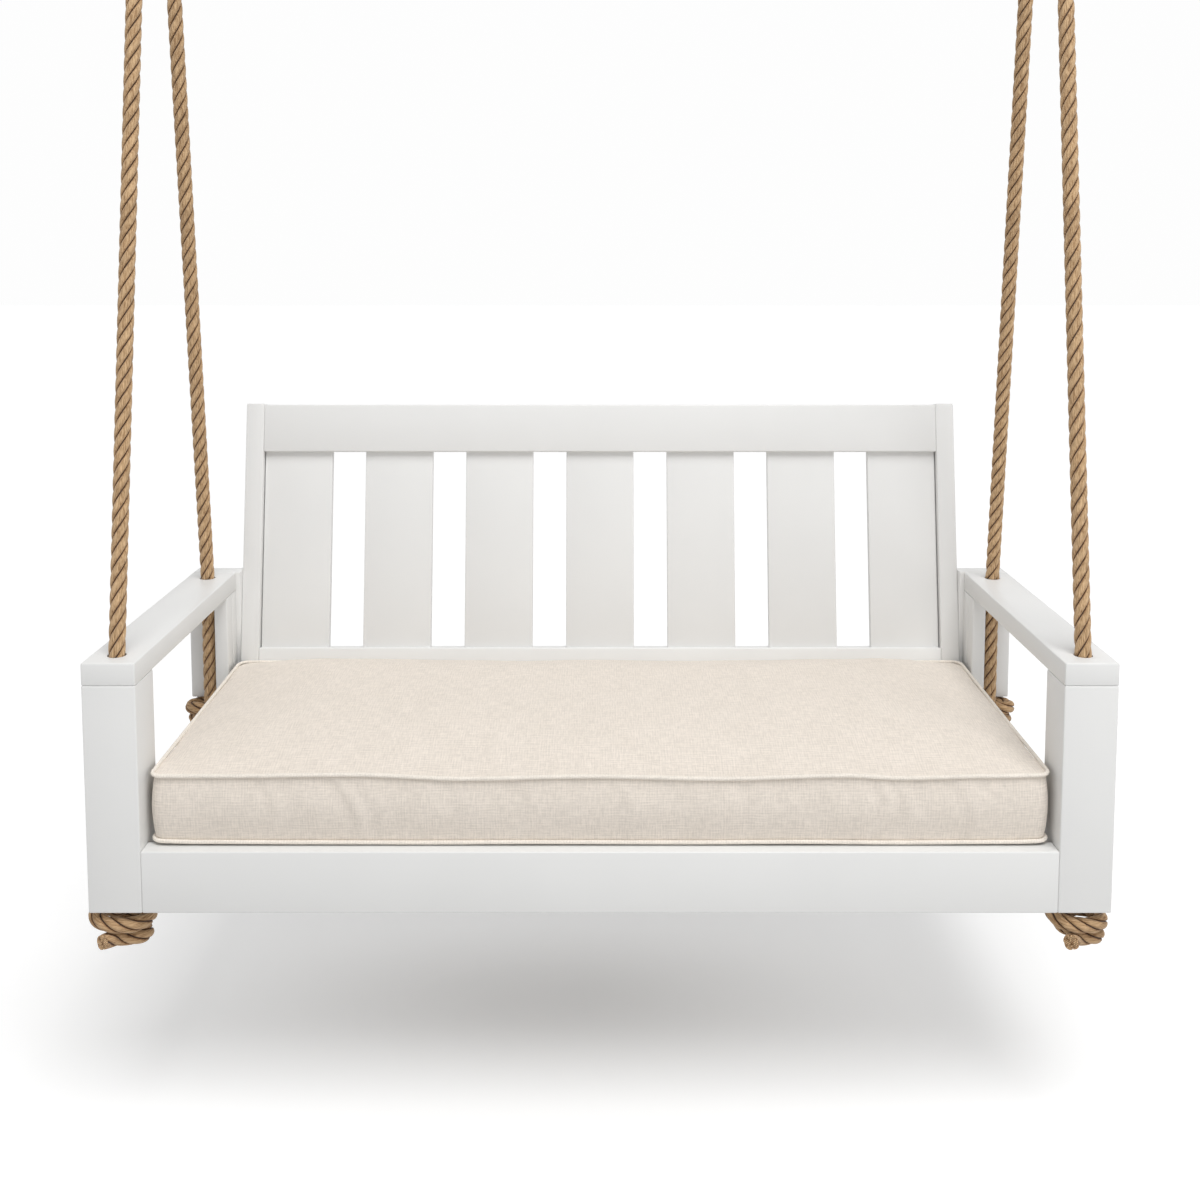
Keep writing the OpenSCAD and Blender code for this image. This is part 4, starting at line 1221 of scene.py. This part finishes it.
# %% The zip
ZIP_HALF, ZIP_PITCH, TAPE_H = 599.9, 2.6, 30
ZIP_Z = (SEAM_LOW + SEAM_HIGH + RISE) / 2
BACK_MIDDLE = spot(0, CUSHION_Y1 + (ZIP_Z - SEAM_LOW) * math.tan(LEAN), ZIP_Z)
ON_BACK = Matrix.Translation(BACK_MIDDLE) @ Matrix.Rotation(-LEAN, 4, "X")

def block(x, y, z, l, d, h, width=None):
    """A block centred at (x, z) with its near face at y, in mm on the cushion's back."""
    at, size = [[v / 1000 for v in three] for three in ((x, y + d / 2, z), (l, d, h))]
    bpy.ops.mesh.primitive_cube_add(size=1, location=at, scale=size)
    obj = set_down(bpy.context.object)
    return ease(obj, width / 1000) if width else obj

tape = block(0, 0.1, 0, 2 * ZIP_HALF, 1.1, TAPE_H, 0.4)
tooth = block(0, 1.2, 0, ZIP_PITCH * 0.62, 1.3, 2.9)
bm = bmesh.new()
bm.from_mesh(tooth.data)
model = list(bm.faces)
count = int(2 * ZIP_HALF / ZIP_PITCH)
for i in range(count):
    for row in (0, 1):
        made = bmesh.ops.duplicate(bm, geom=model)["geom"]
        verts = [g for g in made if isinstance(g, bmesh.types.BMVert)]
        across = (i + 0.5 * row + 0.25) * ZIP_PITCH - ZIP_HALF
        bmesh.ops.translate(bm, verts=verts, vec=(across / 1000, 0, (1.05 if row else -1.05) / 1000))
bmesh.ops.delete(bm, geom=model, context="FACES")
bm.to_mesh(tooth.data)
bm.free()
zipper = join([tape, tooth], "cushion_zip_tape")
zipper.matrix_world = ON_BACK
set_down(zipper)
wear(zipper, CORDING, "cushion", "piping", "cushion_zip")
print("zip teeth:", 2 * count)

# %% The slider
SLIDER_X = -ZIP_HALF + 14
SLIDER = [(2.9, 0, 13, 0.8, 9.6, 0.35), (1.6, 4.1, 13, 1.5, 1.4, 0.3), (1.6, -4.1, 13, 1.5, 1.4, 0.3),
    (3.6, 0, 7, 1.0, 2.6, 0.4), (3.7, -12.5, 6, 0.75, 22, 0.35), (3.55, -20.5, 4.4, 1.1, 4.4, 0.5)]
slider = join([block(SLIDER_X, *rest) for rest in SLIDER], "zip_slider_pull")
slider.matrix_world = ON_BACK
set_down(slider)
wear(slider, BRIGHT, "zip_slider", "steel", "zip_slider")

# %% [markdown]
# ## Stage
# The floor is pale and keeps the bed's soft shadow. Far from the bed it glows a
# little for the camera alone, so that floor and background meet without a
# line. Nearer the bed the glow grows weaker, and weaker still in an oval under
# the seat: painted shadow, which darkens the floor around the bed's real one.
# Metal sees the same pale room. The light is a bright room with one wide, soft
# lamp high in front, which stands far away and falls on all of the bed alike.
# A weak one stands nearer, low at the right, so that side is a little brighter.

# %% Floor and world
FLOOR_Z = -810
bpy.ops.mesh.primitive_plane_add(size=60, location=spot(0, 300, FLOOR_Z))
floor = set_down(bpy.context.object)
floor.name = "floor"
mat, tree, shader = new_material("pale_floor", (0.76, 0.76, 0.76), 0.9)
floor.data.materials.append(mat)

def seen_directly(tree):
    """1 for the camera and for what metal and glass show, 0 for light that falls on things."""
    path = node(tree, "ShaderNodeLightPath").outputs
    shown = math_of(tree, "MAXIMUM", path["Is Camera Ray"], path["Is Glossy Ray"])
    return math_of(tree, "MAXIMUM", shown, path["Is Transmission Ray"])

def distance_from(x, y, squeeze=1.0):
    """Metres from a point on the floor, with sideways distances squeezed."""
    centred = node(tree, "ShaderNodeMapping")
    centred.inputs["Scale"].default_value = (squeeze, 1, 1)
    at = spot(x, y, FLOOR_Z)
    centred.inputs["Location"].default_value = (-at.x * squeeze, -at.y, -at.z)
    tree.links.new(object_place(tree), centred.inputs["Vector"])
    away = node(tree, "ShaderNodeVectorMath", operation="LENGTH")
    tree.links.new(centred.outputs[0], away.inputs[0])
    return away.outputs["Value"]

# The camera-only glow is weaker near the bed: painted shade around the bed's real shadow.
FAR_GLOW, NEAR_PAINTED_SHADE, PAINTED_SHADE_FADE = 0.705, 0.43, 0.2
far = math_of(tree, "ADD", math_of(tree, "MULTIPLY", distance_from(0, 420), PAINTED_SHADE_FADE), 1.0)
rise = math_of(tree, "SUBTRACT", FAR_GLOW, math_of(tree, "DIVIDE", NEAR_PAINTED_SHADE, far))
# Less glow still in an oval under the seat: a painted shadow on the floor.
under = mapped(tree, distance_from(-120, 410, 0.4), 0, 0.30, 0.10, 0.0, interpolation_type="SMOOTHSTEP")
glow = node(tree, "ShaderNodeEmission")
tree.links.new(math_of(tree, "SUBTRACT", rise, under), glow.inputs["Strength"])
both = node(tree, "ShaderNodeAddShader")
only = node(tree, "ShaderNodeMixShader")
tree.links.new(seen_directly(tree), only.inputs["Fac"])
tree.links.new(shader.outputs[0], only.inputs[1])
tree.links.new(shader.outputs[0], both.inputs[0])
tree.links.new(glow.outputs[0], both.inputs[1])
tree.links.new(both.outputs[0], only.inputs[2])
tree.links.new(only.outputs[0], tree.nodes["Material Output"].inputs["Surface"])

world = bpy.data.worlds.new("studio")
bpy.context.scene.world = world
world.use_nodes = True
wt = world.node_tree
back = wt.nodes["Background"]
back.inputs["Color"].default_value = (1, 1, 1, 1)
back.inputs["Strength"].default_value = 0.45
seen = node(wt, "ShaderNodeBackground")
seen.inputs["Color"].default_value = (0.985, 0.985, 0.985, 1)
seen.inputs["Strength"].default_value = 1.0
wmix = node(wt, "ShaderNodeMixShader")
wt.links.new(seen_directly(wt), wmix.inputs["Fac"])
wt.links.new(back.outputs[0], wmix.inputs[1])
wt.links.new(seen.outputs[0], wmix.inputs[2])
wt.links.new(wmix.outputs[0], wt.nodes["World Output"].inputs["Surface"])

# %% Lamps
def lamp(name, place, aim, size, power):
    bpy.ops.object.light_add(type="AREA", location=place)
    obj = bpy.context.object
    obj.name = name
    obj.data.size = size
    obj.data.energy = power
    obj.rotation_euler = (Vector(aim) - Vector(place)).to_track_quat("-Z", "Y").to_euler()

middle = spot(0, 300, -250)
lamp("key", spot(1300, -3700, 8300), middle, 5.5, 600)
lamp("side", spot(3600, -3400, 500), middle, 2.5, 22)
bpy.context.scene.view_settings.view_transform = "Standard"
